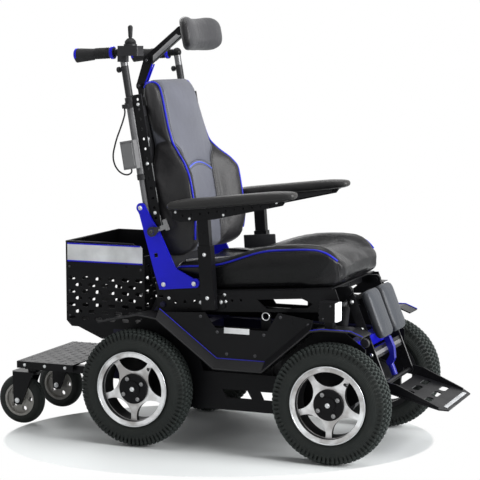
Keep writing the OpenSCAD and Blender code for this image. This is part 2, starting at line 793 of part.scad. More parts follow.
module seat_pan() {
  ear_y = leg_hw + rail_t + gap;
  front_rib = seat_l - 76;
  color(satin) in_seat() union() {
    block([8, -side_in, pan_top - pan_t], [seat_l - 26, side_in, pan_top]);
    for (x = [40, 0.53 * seat_l, front_rib]) block([x, -side_in, pan_top - 26],
      [x + 30, side_in, pan_top - pan_t + 1]);
    both() {
      sheet_xz(ear_y, 7) union() {
        translate([knee_x, knee_z]) circle(knee_r + 7);
        polygon([[front_rib, pan_top - 24], [front_rib, pan_top - pan_t], [knee_x - 14, pan_top - pan_t],
          [knee_x, knee_z + knee_r + 7], [knee_x, knee_z - knee_r - 7]]);
      }
      bar_y(knee_x, knee_z, knee_r, leg_hw - 4, ear_y + 7);
      sheet_xz(rod_r + gap + 2, 7) union() {
        translate([act_top_x, act_top_z]) circle(act_pin_r + 7);
        translate([act_top_x - act_pin_r - 7, act_top_z]) square([2 * act_pin_r + 14,
          pan_top - 10 - act_top_z]);
      }
    }
    bar_y(act_top_x, act_top_z, act_pin_r, -rod_r - gap - 9, rod_r + gap + 9);
  }
}

// Seat cushion: rings across the seat, from the back edge to the front roll
cushion_z0 = pan_top;
cushion_hw = side_in - 5;
cushion_l0 = 28;
cushion_l1 = seat_l + 6;
// Height of the piped edge and of the hollow between the bolsters
function edge_z(x) = pan_top + 78 + (bolster_h - 78) * ease(x, 150, 360) - 28 * ease(x, 480, cushion_l1 + 10);
function hollow_z(x) = pan_top + 66 + 22 * ease(x, 300, 520) - 10 * ease(x, 500, cushion_l1 + 10);
function seat_top(u, x) = let (a = abs(u), b = edge_z(x), h = hollow_z(x))
  h + (b + 6 - h) * ease(a, 0.42, 0.86) - 12 * ease(a, 0.86, 1) + 5 * (1 - a * a);
seat_u = [for (i = [-8 : 8]) let (t = i / 8) sign(t) * (1 - pow(1 - abs(t), 1.35))];
function seat_ring(x) = let (r = min(round_in(x - cushion_l0, 26), round_in(cushion_l1 - x, 56)),
    lift = (1 - r) * 30, w = cushion_hw - 10 * (1 - r) - 42 * (1 - round_in(cushion_l1 - x, 105)))
  concat(
    [for (u = seat_u) [x, w * u, cushion_z0 + lift + (seat_top(u,
      x) - cushion_z0 - lift) * (0.35 + 0.65 * r)]],
    [[x, w - 4, cushion_z0 + lift + 34 * r + 2], [x, w - 1, cushion_z0 + lift + 10 * r],
     [x, w - 12, cushion_z0 + lift], [x, 0, cushion_z0 + lift], [x, -w + 12, cushion_z0 + lift],
     [x, -w + 1, cushion_z0 + lift + 10 * r], [x, -w + 4, cushion_z0 + lift + 34 * r + 2]]);
seat_rings = concat([0.5, 3, 8, 15, 26],
  [for (x = [60 : 34 : cushion_l1 - cushion_l0 - 70]) x],
  [for (d = [56, 42, 28, 17, 9, 3.5, 0.8]) cushion_l1 - cushion_l0 - d]);
module seat_cushion() {
  color(hide) in_seat() loft([for (d = seat_rings) seat_ring(cushion_l0 + d)]);
}

// Blue brackets that carry the recline pivot
module recline_bracket_outline() {
  difference() {
    union() {
      link_2d([-49, 295], [rec_x, rec_z], 30);
      link_2d([10, 59], [112, 62], 28);
      polygon([[-60, 296], [-38, 296], [rec_x + 20, rec_z], [52, 108], [112, 73], [112, 51], [-6, 45],
        [-20, 100]]);
    }
    translate([-10, 150]) rotate(8) square(13, center = true);
  }
}
module recline_brackets() {
  color(blue) both() in_seat() {
    sheet_xz(bracket_y, bracket_t) recline_bracket_outline();
    for (x = [10, 110]) bar_y(x, 61, 7, side_out, bracket_y + bracket_t + 4);
    bar_y(rec_x, rec_z, tilt_r, back_y - 2, bracket_y + bracket_t + 13);
    bar_y(-49, 295, 7, bracket_y + 2, bracket_y + bracket_t + 4);
  }
}

// Recline release lever on the right pivot
module recline_lever() {
  y0 = bracket_y + bracket_t + 1;
  color(silver) mirrored(-1) in_seat() translate([rec_x, 0, rec_z]) union() {
    sheet_xz(y0, 10) difference() {
      union() {
        circle(tilt_r + 7);
        rotate(18) translate([0, -7]) square([52, 14]);
      }
      circle(tilt_r + run_fit);
    }
    sheet_xz(y0, 10) rotate(18) translate([46, -13]) square([10, 34]);
    rotate([0, -18, 0]) translate([20, y0 + 10, 0]) rotate([-90, 0, 0]) cylinder(h = 9, r = 9);
  }
}

// Seat tilt actuator
module in_actuator() {
  translate([act_x, 0, act_z]) rotate([0, act_lean, 0]) children();
}
module tilt_cylinder() {
  color(satin) in_actuator() difference() {
    union() {
      translate([0, 0, act_pin_r + 12]) cylinder(h = act_l - act_pin_r - 12, r = act_r);
      bar_y(0, 0, act_pin_r + 7, -act_r / 2 - 2, act_r / 2 + 2);
      block([-10, -act_r / 2, 0], [10, act_r / 2, act_pin_r + 14]);
    }
    bar_y(0, 0, act_pin_r + run_fit, -act_r, act_r);
    translate([0, 0, 24]) cylinder(h = act_l, r = rod_r + gap);
  }
}
module tilt_rod() {
  color(silver) in_actuator() difference() {
    union() {
      translate([0, 0, 26]) cylinder(h = act_len - 26 - act_pin_r - act_open, r = rod_r);
      translate([0, 0, act_len]) bar_y(0, 0, act_pin_r + act_open + 6, -rod_r - 1, rod_r + 1);
    }
    translate([0, 0, act_len]) bar_y(0, 0, act_pin_r + act_open, -act_r, act_r);
  }
}

// Backrest
module back_rails() {
  color(satin) both() in_back() sheet_xz(back_y - back_rail_t + 4, back_rail_t) difference() {
    union() {
      translate([back_rail_x0, 0]) square([back_rail_w, back_rail_top]);
      circle(tilt_r + 9);
      translate([0, -tilt_r - 9]) square([back_rail_x0 + back_rail_w, tilt_r + 9]);
    }
    circle(tilt_r + run_fit);
    for (z = [40 : 30 : back_rail_top - 15]) translate([back_rail_x0 + back_rail_w / 2, z]) circle(4.5);
  }
}
module back_posts() {
  color(silver) both() in_back() union() {
    translate([post_x, post_y, 24]) cylinder(h = post_top - 24, r = post_r);
    translate([post_x, post_y, sleeve_z0]) cylinder(h = sleeve_z1 - sleeve_z0, r = sleeve_r);
    for (z = [sleeve_z0 + 20, sleeve_z1 - 50]) block([post_x, post_y - 10, z],
      [shell_x0, post_y + 4, z + 30]);
  }
}
module back_shell() {
  hw = post_y + 4;
  color(satin) in_back() union() {
    difference() {
      translate([shell_x0, 0, 0]) rotate([90, 0, 90]) linear_extrude(shell_t) difference() {
        polygon([[-hw, 20], [hw, 20], [hw, 200], [back_waist_hw - 6, 280], [back_waist_hw - 6, back_rail_top - 8],
          [back_waist_hw - 26, back_rail_top + 12], [-back_waist_hw + 26, back_rail_top + 12],
          [-back_waist_hw + 6, back_rail_top - 8], [-back_waist_hw + 6, 280], [-hw, 200]]);
        for (y = [-90, 0, 90], z = [90, 180]) translate([y, z]) rotate(90) obround(60, 14);
      }
    }
    both() for (z = [60, 150]) block([shell_x0, hw - 1, z], [shell_x0 + shell_t, back_y - 2, z + 40]);
    both() for (z = [sleeve_z1 - 50]) block([shell_x0, back_waist_hw - 8, z],
      [shell_x0 + shell_t, back_y - 2, z + 30]);
    difference() {
      block([head_foot_x - 18, -22, head_foot_z], [shell_x0 + 1, 22, head_foot_z + 70]);
      block([head_foot_x - 9 - gap, -12 - gap, head_foot_z - 1],
        [head_foot_x + 8 + gap, 12 + gap, head_foot_z + 71]);
    }
  }
}
// Back cushion: rings across the back, from the seat up to the rounded top
cushion_low = -92;
function back_rise(z) = min(1, max(0, (z - 262) / (back_h - 262)));
function back_hw(z) = back_low_hw - (back_low_hw - back_waist_hw) * ease(z, 150, 262)
  - (back_waist_hw - back_top_hw) * back_rise(z) - 8 * ease(-z, 0, 90);
function back_mid_x(z) = 84 - 6 * ease(z, 120, 262) - 18 * back_rise(z) - 10 * ease(-z, 0, 90);
function back_edge_x(z) = 142 - 66 * ease(z, 150, 265) - 16 * back_rise(z) - 26 * ease(-z, -10, 90);
function back_front(u, z) = let (a = abs(u), m = back_mid_x(z), e = back_edge_x(z))
  m + (e - m) * ease(a, 0.5, 0.93) - 8 * ease(a, 0.93, 1) + 5 * (1 - a * a);
function back_ring(z) = let (r = min(round_in(z - cushion_low, 34), round_in(back_h - z, 40)),
    w = back_hw(z) - 16 * (1 - r), v = w + 40 * back_rise(z), push = (1 - r) * 26)
  concat(
    [for (u = seat_u) [cushion_x0 + push + (back_front(u, z) - cushion_x0 - push) * (0.3 + 0.7 * r),
      w * u, z]],
    [[cushion_x0 + push + 38 * r + 2, (w + v) / 2 - 3, z], [cushion_x0 + push + 10 * r, v - 1, z],
     [cushion_x0 + push, v - 12, z], [cushion_x0 + push, 0, z], [cushion_x0 + push, -v + 12, z],
     [cushion_x0 + push + 10 * r, -v + 1, z], [cushion_x0 + push + 38 * r + 2, -(w + v) / 2 + 3, z]]);
back_rings = concat([0.6, 4, 10, 20, 34], [for (z = [64 : 31 : back_h - cushion_low - 60]) z],
  [for (d = [40, 28, 18, 10, 4, 0.8]) back_h - cushion_low - d]);
module back_cushion() {
  color(hide) in_back() mirror([0, 1, 0]) loft([for (d = back_rings) back_ring(cushion_low + d)]);
}

// Push handles, level with the floor
module in_handle(side) {
  mirrored(side) in_back() translate([post_x, post_y, post_top]) rotate([0, back_rake - 3, 0]) children();
}
module push_handles() {
  for (side = [-1, 1]) in_handle(side) color(black) difference() {
    union() {
      sphere(handle_r + 4);
      rotate([0, -90, 0]) cylinder(h = handle_l - 4, r = handle_r);
    }
    rotate([0, 3 - back_rake, 0]) translate([0, 0, -40]) cylinder(h = 40, r = post_r);
  }
}
module grip() {
  color(black) rotate([0, -90, 0]) translate([0, 0, handle_l - grip_l]) difference() {
    union() {
      rotate_extrude() polygon([[0, 0], [grip_r, 0], [grip_r + 1, 6], [grip_r - 1, 18], [grip_r, grip_l - 60],
        [grip_r + 3, grip_l - 20], [grip_r + 3, grip_l - 6], [grip_r, grip_l], [0, grip_l]]);
      translate([-6, 0, grip_l - 62]) rotate([0, 0, 0]) cylinder(h = 58, r1 = grip_r - 3, r2 = grip_r + 2);
    }
    translate([0, 0, -1]) cylinder(h = grip_l - 3, r = handle_r);
  }
}
module grips() {
  for (side = [-1, 1]) in_handle(side) grip();
}

// Control box, cable and joystick on the right post
box_y1 = -post_y - sleeve_r;
module cable_clamp() {
  difference() {
    union() {
      translate([post_x, -post_y, sleeve_z1 - 22]) cylinder(h = 18, r = sleeve_r + 4);
      block([cable_route[0][0] - 5, cable_y - 5, cable_route[0][1]],
        [post_x + 4, -post_y, cable_route[0][1] + 12]);
    }
    translate([post_x, -post_y, 0]) cylinder(h = post_top, r = sleeve_r);
    block([back_rail_x0 - 3, -post_y - 40, sleeve_z1 - 40],
      [back_rail_x0 + 60, -post_y + 40, sleeve_z1 + 40]);
  }
}
module control_box() {
  color(silver) in_back() union() {
    block([box_x0, box_y1 - box_w, box_z0], [box_x1, box_y1, box_z1]);
    difference() {
      block([post_x - sleeve_r, box_y1 - 1, box_z0 + 14], [box_x1, box_y1 + 8, box_z1 - 14]);
      translate([post_x, -post_y, 0]) cylinder(h = post_top, r = sleeve_r);
    }
    block([box_x0 + 5, box_y1 - box_w - 3, box_z0 + 6], [box_x1 - 5, box_y1 - box_w, box_z1 - 8]);
    cable_clamp();
  }
}
function dir2(p, i) = let (a = p[max(0, i - 1)], b = p[min(len(p) - 1, i + 1)]) (b - a) / norm(b - a);
module control_cable() {
  sides = 8;
  rings = [for (i = [0 : len(cable_route) - 1]) let (d = dir2(cable_route, i), p = cable_route[i])
    [for (j = [0 : sides - 1]) let (t = 360 * j / sides)
      [p[0] - d[1] * cable_r * cos(t), cable_y + cable_r * sin(t), p[1] + d[0] * cable_r * cos(t)]]];
  color(black) in_back() loft(rings);
}
house_l = 68;
house_w = 46;
house_h = 30;
boot_r = 15;
ball_r = 8;
module at_stick() {
  translate([stick_x, stick_y, stick_z]) rotate([0, back_rake, 0]) children();
}
module joystick_housing() {
  color(satin) in_back() difference() {
    at_stick() difference() {
      union() {
        block([-house_l / 2, -house_w / 2 + 6, -house_h], [house_l / 2, house_w / 2 - 6, 0]);
        block([-house_l / 2 + 6, -house_w / 2, -house_h], [house_l / 2 - 6, house_w / 2, 0]);
        for (x = [-1, 1], y = [-1, 1]) translate([x * (house_l / 2 - 6), y * (house_w / 2 - 6), -house_h])
          cylinder(h = house_h, r = 6);
        cylinder(h = 5, r = boot_r + 5);
        block([-house_l / 2 - 14, house_w / 2 - 14, -house_h - 18],
          [-house_l / 2 + 14, house_w / 2 + 6, -house_h + 8]);
      }
      translate([0, 0, -20]) cylinder(h = 30, r = boot_r + 1);
      rotate([90, 0, 0]) cylinder(h = 2 * boot_r + 8, r = 2.5 + run_fit, center = true);
    }
    translate([post_x, -post_y, 0]) cylinder(h = post_top + 30, r = post_r);
    translate([post_x, -post_y, post_top]) sphere(handle_r + 4 + gap);
  }
}
module joystick_gimbal() {
  color(silver) in_back() at_stick() difference() {
    union() {
      cylinder(h = 6, r = boot_r - 3, center = true);
      rotate([90, 0, 0]) cylinder(h = 2 * boot_r + 7, r = 2.5, center = true);
    }
    cylinder(h = 10, r = ball_r + 0.6, center = true);
    rotate([0, 90, 0]) cylinder(h = 2 * boot_r, r = 2 + run_fit, center = true);
  }
}
module joystick_stick() {
  color(black) in_back() at_stick() union() {
    sphere(ball_r);
    rotate([0, 90, 0]) cylinder(h = 2 * ball_r + 7, r = 2, center = true);
    cylinder(h = 46, r = 5);
    translate([0, 0, 8]) cylinder(h = 12, r1 = boot_r - 2, r2 = 7);
    translate([0, 0, 26]) cylinder(h = 28, r1 = 6, r2 = 7.5);
    translate([0, 0, 54]) sphere(7.5);
  }
}

// Headrest
module headrest_arm() {
  color(satin) in_back() union() {
    block([head_foot_x - 9, -12, head_foot_z - 14], [head_foot_x + 8, 12, head_pivot[1]]);
    sheet_xz(-8, 16) union() {
      link_2d(head_pivot, head_elbow, 30);
      link_2d(head_elbow, head_end, 32);
    }
    bar_y(head_pivot[0], head_pivot[1], 7, -19, 19);
    bar_y(head_elbow[0], head_elbow[1], 9, -15, 15);
    bar_y(head_end[0], head_end[1], 6, -15.5, 15.5);
  }
}
// Curved pad: rings along an arc that wraps the head, flat where the mount meets it
head_arc_r = 260;
head_back = 16;
head_x = head_end[0] + 26;
head_z = head_end[1] - 16;
function head_ring(a) = let (r = round_in(31 - abs(a), 14), s = squarish(22 * r + 1,
  54 * (0.3 + 0.7 * r), 16, 0.7))
  [for (p = s) let (d = head_arc_r - max(p[0], -head_back))
    [head_x + (head_arc_r + head_back) * cos(3) - d * cos(a), d * sin(a), head_z + p[1]]];
module headrest_pad() {
  color(hide) in_back()
    loft([for (a = [-30.6, -29, -26, -22, -17, -10, -3, 3, 10, 17, 22, 26, 29, 30.6]) head_ring(a)]);
}
module headrest_mount() {
  color(satin) in_back() union() {
    block([head_x - 6, -14, head_z - 26], [head_x, 14, head_z + 28]);
    both() sheet_xz(8 + gap, 6) difference() {
      union() {
        translate(head_end) circle(12);
        translate([head_end[0], head_end[1] - 12]) square([head_x - head_end[0], 24]);
      }
      translate(head_end) circle(6 + run_fit);
    }
  }
}

// Arm supports
arm_slope = 14 / 366;
post_in_l = receiver_l - 2 * receiver_wall - 2 * gap;
post_in_w = receiver_w - 2 * receiver_wall - 2 * gap;
arm_plate_y = receiver_y + receiver_w - receiver_wall - gap;
module arm_frame() {
  color(satin) in_seat() difference() {
    union() {
      block([receiver_x - post_in_l / 2, receiver_y + receiver_wall + gap, 40],
        [receiver_x + post_in_l / 2, receiver_y + receiver_wall + gap + post_in_w, arm_h - 4]);
      sheet_xz(arm_plate_y, 4) polygon([[88, 250], [200, 254], [418, arm_h], [430, arm_h + 14],
        [430, arm_h + 16],
        [64, arm_h + 2], [64, 262]]);
      sheet_xz(arm_plate_y - 14, 30) polygon([[64, arm_h - 2], [430, arm_h + 12], [430, arm_h + 16],
        [64, arm_h + 2]]);
    }
    for (x = [100 : 28 : 380]) sheet_xz(arm_plate_y - 1, 6)
      translate([x, 268 + (x - 100) * 0.075]) circle(3.5);
    for (x = [120, 230]) sheet_xz(arm_plate_y - 1, 6) translate([x, 258 + (x - 100) * 0.06]) circle(2.5);
  }
}
function arm_ring(d) = let (r = min(round_in(d, 22), round_in(pad_l - d, 30)),
  s = squarish(pad_w / 2 * (0.35 + 0.65 * r),
    13 * (0.3 + 0.7 * r), 16))
  [for (p = s) [54 + d, arm_plate_y + 3 + p[0], arm_h + 13 + (d - 10) * arm_slope + max(p[1], -11)]];
module arm_pad() {
  color(hide) in_seat() loft([for (d = [0.4, 3, 9, 20, 60, 130, 200, 270, 340, pad_l - 30, pad_l - 15,
    pad_l - 6, pad_l - 0.6])
    arm_ring(d)]);
}

// Leg support
module leg_frame() {
  color(satin) in_leg() union() {
    both() sheet_xz(leg_hw, rail_t) difference() {
      union() {
        circle(knee_r + 8);
        translate([-leg_rail_w / 2, -leg_l]) square([leg_rail_w, leg_l]);
        translate([0, -leg_l]) circle(leg_rail_w / 2);
      }
      circle(knee_r + run_fit);
    }
    block([-leg_rail_w / 2, -leg_hw - 1, -46], [leg_rail_w / 2 - 10, leg_hw + 1, -22]);
    block([-leg_rail_w / 2, -leg_hw - 1, -leg_l + 80], [leg_rail_w / 2 - 4, leg_hw + 1, -leg_l + 110]);
    both() {
      block([leg_rail_w / 2 + 6, 31, 8 - calf_l], [leg_rail_w / 2 + 10, 103, -44]);
      block([leg_rail_w / 2 - 11, 50, -58], [leg_rail_w / 2 + 7, 84, -34]);
    }
    bar_y(0, -leg_l, knee_r, -leg_hw - rail_t - 9, leg_hw + rail_t + 9);
  }
}
calf_l = leg_l / 2;
function calf_ring(d) = let (r = min(round_in(d, 20), round_in(calf_l - d, 20)),
    s = squarish(17 * (0.35 + 0.65 * r), 56 * (0.72 + 0.28 * r), 20))
  [for (p = s) [leg_rail_w / 2 + 24 + max(p[0], -14), 67 + p[1], d - calf_l - 18]];
module calf_pads() {
  color(hide) in_leg() both() loft([for (d = [0.4, 3, 9, 20, 50, calf_l / 2, calf_l - 50, calf_l - 20,
    calf_l - 9, calf_l - 3, calf_l - 0.4]) calf_ring(d)]);
}

module leg_damper() {
  color(blue) in_leg() union() {
    translate([0, 0, -leg_l]) sheet_xz(-10, 20) polygon([[9, 128], [26, 124], [28, 90], [18, 56], [4, 42],
      [-10, 42], [-10, 56], [9, 72]]);
    translate([-2, 0, -leg_l + knee_r + 2]) cylinder(h = 46, r = 9.5);
  }
}
module footplate() {
  ear_y = leg_hw + rail_t + gap;
  color(satin) in_foot() union() {
    difference() {
      block([24, -foot_hw, -foot_drop], [foot_l, foot_hw, -foot_drop + foot_t]);
      for (x = [70, 130], y = [-88, 0, 88]) translate([x, y,
        -20]) rotate(90) linear_extrude(20) obround(64, 22);
      for (s = [-1, 1]) translate([foot_l, s * foot_hw, -20]) rotate(45) cube([34, 34, 40], center = true);
    }
    both() sheet_xz(ear_y, 7) difference() {
      union() {
        circle(knee_r + 8);
        polygon([[0, 15], [40, 18], [foot_l - 28, -6], [foot_l - 28, -foot_drop], [6, -foot_drop]]);
      }
      circle(knee_r + run_fit);
    }
  }
}

place() chassis_frame();
place() chassis_side_plates();
place() power_pack();
place() gear_motors();
place() mirrored(-1) side_fairing();  // side_fairing_right
place() mirrored(1) side_fairing();  // side_fairing_left
place() headlight_housings();
place() headlight_lenses();
place() tie_down_eyes();
place() basket_panels();
place() basket_floor();
place() at_wheel(1, -1) tyre();  // front_right_tyre
place() at_wheel(1, -1) rim();  // front_right_rim
place() at_wheel(1, -1) hub();  // front_right_hub
place() at_wheel(1, 1) tyre();  // front_left_tyre
place() at_wheel(1, 1) rim();  // front_left_rim
place() at_wheel(1, 1) hub();  // front_left_hub
place() at_wheel(-1, -1) tyre();  // rear_right_tyre
place() at_wheel(-1, -1) rim();  // rear_right_rim
place() at_wheel(-1, -1) hub();  // rear_right_hub
place() at_wheel(-1, 1) tyre();  // rear_left_tyre
place() at_wheel(-1, 1) rim();  // rear_left_rim
place() at_wheel(-1, 1) hub();  // rear_left_hub
place() platform_deck();
place() platform_frame();
place() caster_fork(-1);  // caster_fork_right
place() caster_fork(1);  // caster_fork_left
place() caster_tyre(-1);  // caster_tyre_right
place() caster_tyre(1);  // caster_tyre_left
place() caster_rim(-1);  // caster_rim_right
place() caster_rim(1);  // caster_rim_left
place() seat_side_plates();
place() seat_pan();
place() seat_cushion();
place() recline_brackets();
place() recline_lever();
place() tilt_cylinder();
place() tilt_rod();
place() back_rails();
place() back_posts();
place() back_shell();
place() back_cushion();
place() push_handles();
place() grips();
place() control_box();
place() control_cable();
place() joystick_housing();
place() joystick_gimbal();
place() joystick_stick();
place() headrest_arm();
place() headrest_mount();
place() headrest_pad();
place() mirrored(-1) arm_frame();  // arm_frame_right
place() mirrored(1) arm_frame();  // arm_frame_left
place() mirrored(-1) arm_pad();  // arm_pad_right
place() mirrored(1) arm_pad();  // arm_pad_left
place() leg_frame();
place() leg_damper();
place() calf_pads();
place() footplate();
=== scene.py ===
"""Looks of an all terrain wheelchair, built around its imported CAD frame."""
import logging
import math
from dataclasses import dataclass, field
from enum import Enum
from typing import Callable, Sequence

import bmesh
import bpy
import numpy as np
from mathutils import Matrix, Vector
from mathutils.bvhtree import BVHTree
from mathutils.kdtree import KDTree


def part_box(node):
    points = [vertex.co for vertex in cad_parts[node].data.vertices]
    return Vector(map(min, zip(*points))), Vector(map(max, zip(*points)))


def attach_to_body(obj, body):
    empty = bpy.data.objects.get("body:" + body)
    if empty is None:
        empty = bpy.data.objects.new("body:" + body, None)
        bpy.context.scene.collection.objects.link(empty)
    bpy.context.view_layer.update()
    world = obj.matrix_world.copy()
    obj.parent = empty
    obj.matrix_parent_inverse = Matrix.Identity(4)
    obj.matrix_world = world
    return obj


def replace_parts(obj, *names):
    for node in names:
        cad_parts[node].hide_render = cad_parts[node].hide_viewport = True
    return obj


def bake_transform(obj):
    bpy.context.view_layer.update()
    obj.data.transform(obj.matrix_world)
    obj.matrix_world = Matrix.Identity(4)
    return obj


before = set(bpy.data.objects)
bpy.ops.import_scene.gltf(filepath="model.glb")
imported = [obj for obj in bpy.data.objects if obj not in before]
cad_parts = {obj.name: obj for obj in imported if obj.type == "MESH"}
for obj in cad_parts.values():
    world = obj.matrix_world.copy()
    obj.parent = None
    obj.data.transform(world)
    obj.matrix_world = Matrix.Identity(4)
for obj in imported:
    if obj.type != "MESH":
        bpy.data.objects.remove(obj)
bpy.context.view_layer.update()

LOG = logging.getLogger("wheelchair")
MM = 0.001
Point = Sequence[float]
Path = list[Vector]


class Side(Enum):
    """The chair's two sides, by the sign of Y."""

    RIGHT = -1
    LEFT = 1


class Knob(Enum):
    """Rows of tread knobs.

    Each holds its place across, its turn in pitches, and a knob's width, length, height and foot radius.
    """

    CROWN = (6.6, 0.0, 9.0, 10.0, 9.6, 169.0)
    FLANK = (18.6, 0.5, 9.0, 10.0, 15.0, 160.8)
    SHOULDER = (31.2, 0.0, 7.4, 9.4, 22.6, 147.0)


class Wheel(Enum):
    """The four drive wheels, by the signs of X and Y."""

    FRONT_RIGHT = (1, -1)
    FRONT_LEFT = (1, 1)
    REAR_RIGHT = (-1, -1)
    REAR_LEFT = (-1, 1)


def ease(v: float, a: float, b: float) -> float:
    """Smooth step from 0 to 1 while v runs from a to b."""
    t = min(1.0, max(0.0, (v - a) / (b - a)))
    return t * t * (3 - 2 * t)


def circle(radius: float, count: int, turn: float = 0.0) -> list[tuple[float, float]]:
    """Even points on a circle, from a turn in radians on."""
    angles = [turn + math.tau * i / count for i in range(count)]
    return [(radius * math.cos(t), radius * math.sin(t)) for t in angles]


@dataclass(frozen=True)
class Frames:
    """The moving groups' own axes, in millimetres, as the CAD source has them."""

    shift: float = 120.7
    tilt_x: float = -246.0
    tilt_z: float = 430.0
    seat_pitch: float = 4.1
    back_rake: float = 9.5
    leg_rake: float = 21.8
    foot_slope: float = 14.0
    leg_length: float = 296.0
    wheelbase: float = 622.0
    track: float = 533.0
    tyre_r: float = 179.0
    recline_pivot: Point = (-14, 0, 222)
    knee_pivot: Point = (566, 0, 20)
    post_top: Point = (-17, 200, 548)
    handle_droop: float = 3.0
    stick_foot: Point = (26, -228, 560)

    @staticmethod
    def turn(degrees: float) -> Matrix:
        """A turn about Y."""
        return Matrix.Rotation(math.radians(degrees), 4, "Y")

    @property
    def world(self) -> Matrix:
        """Chair axes, X from the middle of the wheelbase."""
        return Matrix.Scale(MM, 4) @ Matrix.Translation((self.shift, 0, 0))

    @property
    def seat(self) -> Matrix:
        """Seat axes from the tilt pivot."""
        pivot = Matrix.Translation((self.tilt_x, 0, self.tilt_z))
        return self.world @ pivot @ self.turn(-self.seat_pitch)

    @property
    def back(self) -> Matrix:
        """Backrest axes from the recline pivot."""
        pivot = Matrix.Translation(self.recline_pivot)
        return self.seat @ pivot @ self.turn(self.seat_pitch - self.back_rake)

    @property
    def leg(self) -> Matrix:
        """Leg rail axes from the knee pivot."""
        pivot = Matrix.Translation(self.knee_pivot)
        return self.seat @ pivot @ self.turn(self.seat_pitch - self.leg_rake)

    @property
    def foot(self) -> Matrix:
        """Footplate axes from its hinge."""
        hinge = Matrix.Translation((0, 0, -self.leg_length))
        return self.leg @ hinge @ self.turn(self.leg_rake + self.foot_slope)

    def wheel(self, which: Wheel) -> Matrix:
        """Axes of a drive wheel, with Z out along the axle."""
        end, side = which.value
        place = Matrix.Translation((end * self.wheelbase / 2, side * self.track / 2, self.tyre_r))
        return self.world @ place @ Matrix.Rotation(math.radians(-90 * side), 4, "X")

    def handle(self, side: Side) -> Matrix:
        """Axes of a push handle at the top of its post, with X towards the front."""
        x, y, z = self.post_top
        top = Matrix.Translation((x, side.value * y, z))
        return self.back @ top @ self.turn(self.back_rake - self.handle_droop)

    @property
    def stick(self) -> Matrix:
        """Axes of the joystick."""
        return self.back @ Matrix.Translation(self.stick_foot) @ self.turn(self.back_rake)


def axle_shift() -> float:
    """How far the frame sets the middle of the wheelbase from X = 0, in millimetres."""
    fronts, rears = (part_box(f"{end}_right_rim") for end in ("front", "rear"))
    return sum(corner.x for corner in (*fronts, *rears)) / 4 / MM


FRAMES = Frames(shift=axle_shift())


class Sock:
    """A shader socket that takes part in Python expressions."""

    def __init__(self, graph: "Graph", socket: bpy.types.NodeSocket) -> None:
        """Keeps the socket and the graph that new nodes go into."""
        self.graph = graph
        self.socket = socket

    def _math(self, operation: str, a: "Sock | float", b: "Sock | float") -> "Sock":
        """Adds one Math node and returns its output."""
        return self.graph.node("ShaderNodeMath", {"operation": operation}, {0: a, 1: b})

    def __add__(self, other: "Sock | float") -> "Sock":
        """self + other."""
        return self._math("ADD", self, other)

    def __radd__(self, other: float) -> "Sock":
        """other + self."""
        return self._math("ADD", other, self)

    def __sub__(self, other: "Sock | float") -> "Sock":
        """self - other."""
        return self._math("SUBTRACT", self, other)

    def __rsub__(self, other: float) -> "Sock":
        """other - self."""
        return self._math("SUBTRACT", other, self)

    def __mul__(self, other: "Sock | float") -> "Sock":
        """self * other."""
        return self._math("MULTIPLY", self, other)

    def __rmul__(self, other: float) -> "Sock":
        """other * self."""
        return self._math("MULTIPLY", other, self)

    def __pow__(self, other: "Sock | float") -> "Sock":
        """self to the power of other."""
        return self._math("POWER", self, other)

    def __gt__(self, other: "Sock | float") -> "Sock":
        """1 where self is the greater."""
        return self._math("GREATER_THAN", self, other)

    def __lt__(self, other: "Sock | float") -> "Sock":
        """1 where self is the smaller."""
        return self._math("LESS_THAN", self, other)

    def sin(self) -> "Sock":
        """The sine."""
        return self._math("SINE", self, 0.0)

    def fit(self, low: float, high: float, to_low: float = 0.0, to_high: float = 1.0) -> "Sock":
        """Maps low..high to to_low..to_high, clamped.

        Args:
            low: Input that gives to_low.
            high: Input that gives to_high.
            to_low: First output.
            to_high: Last output.

        Returns:
            The mapped value.
        """
        return self.graph.node("ShaderNodeMapRange", {"clamp": True},
                               {0: self, 1: low, 2: high, 3: to_low, 4: to_high})


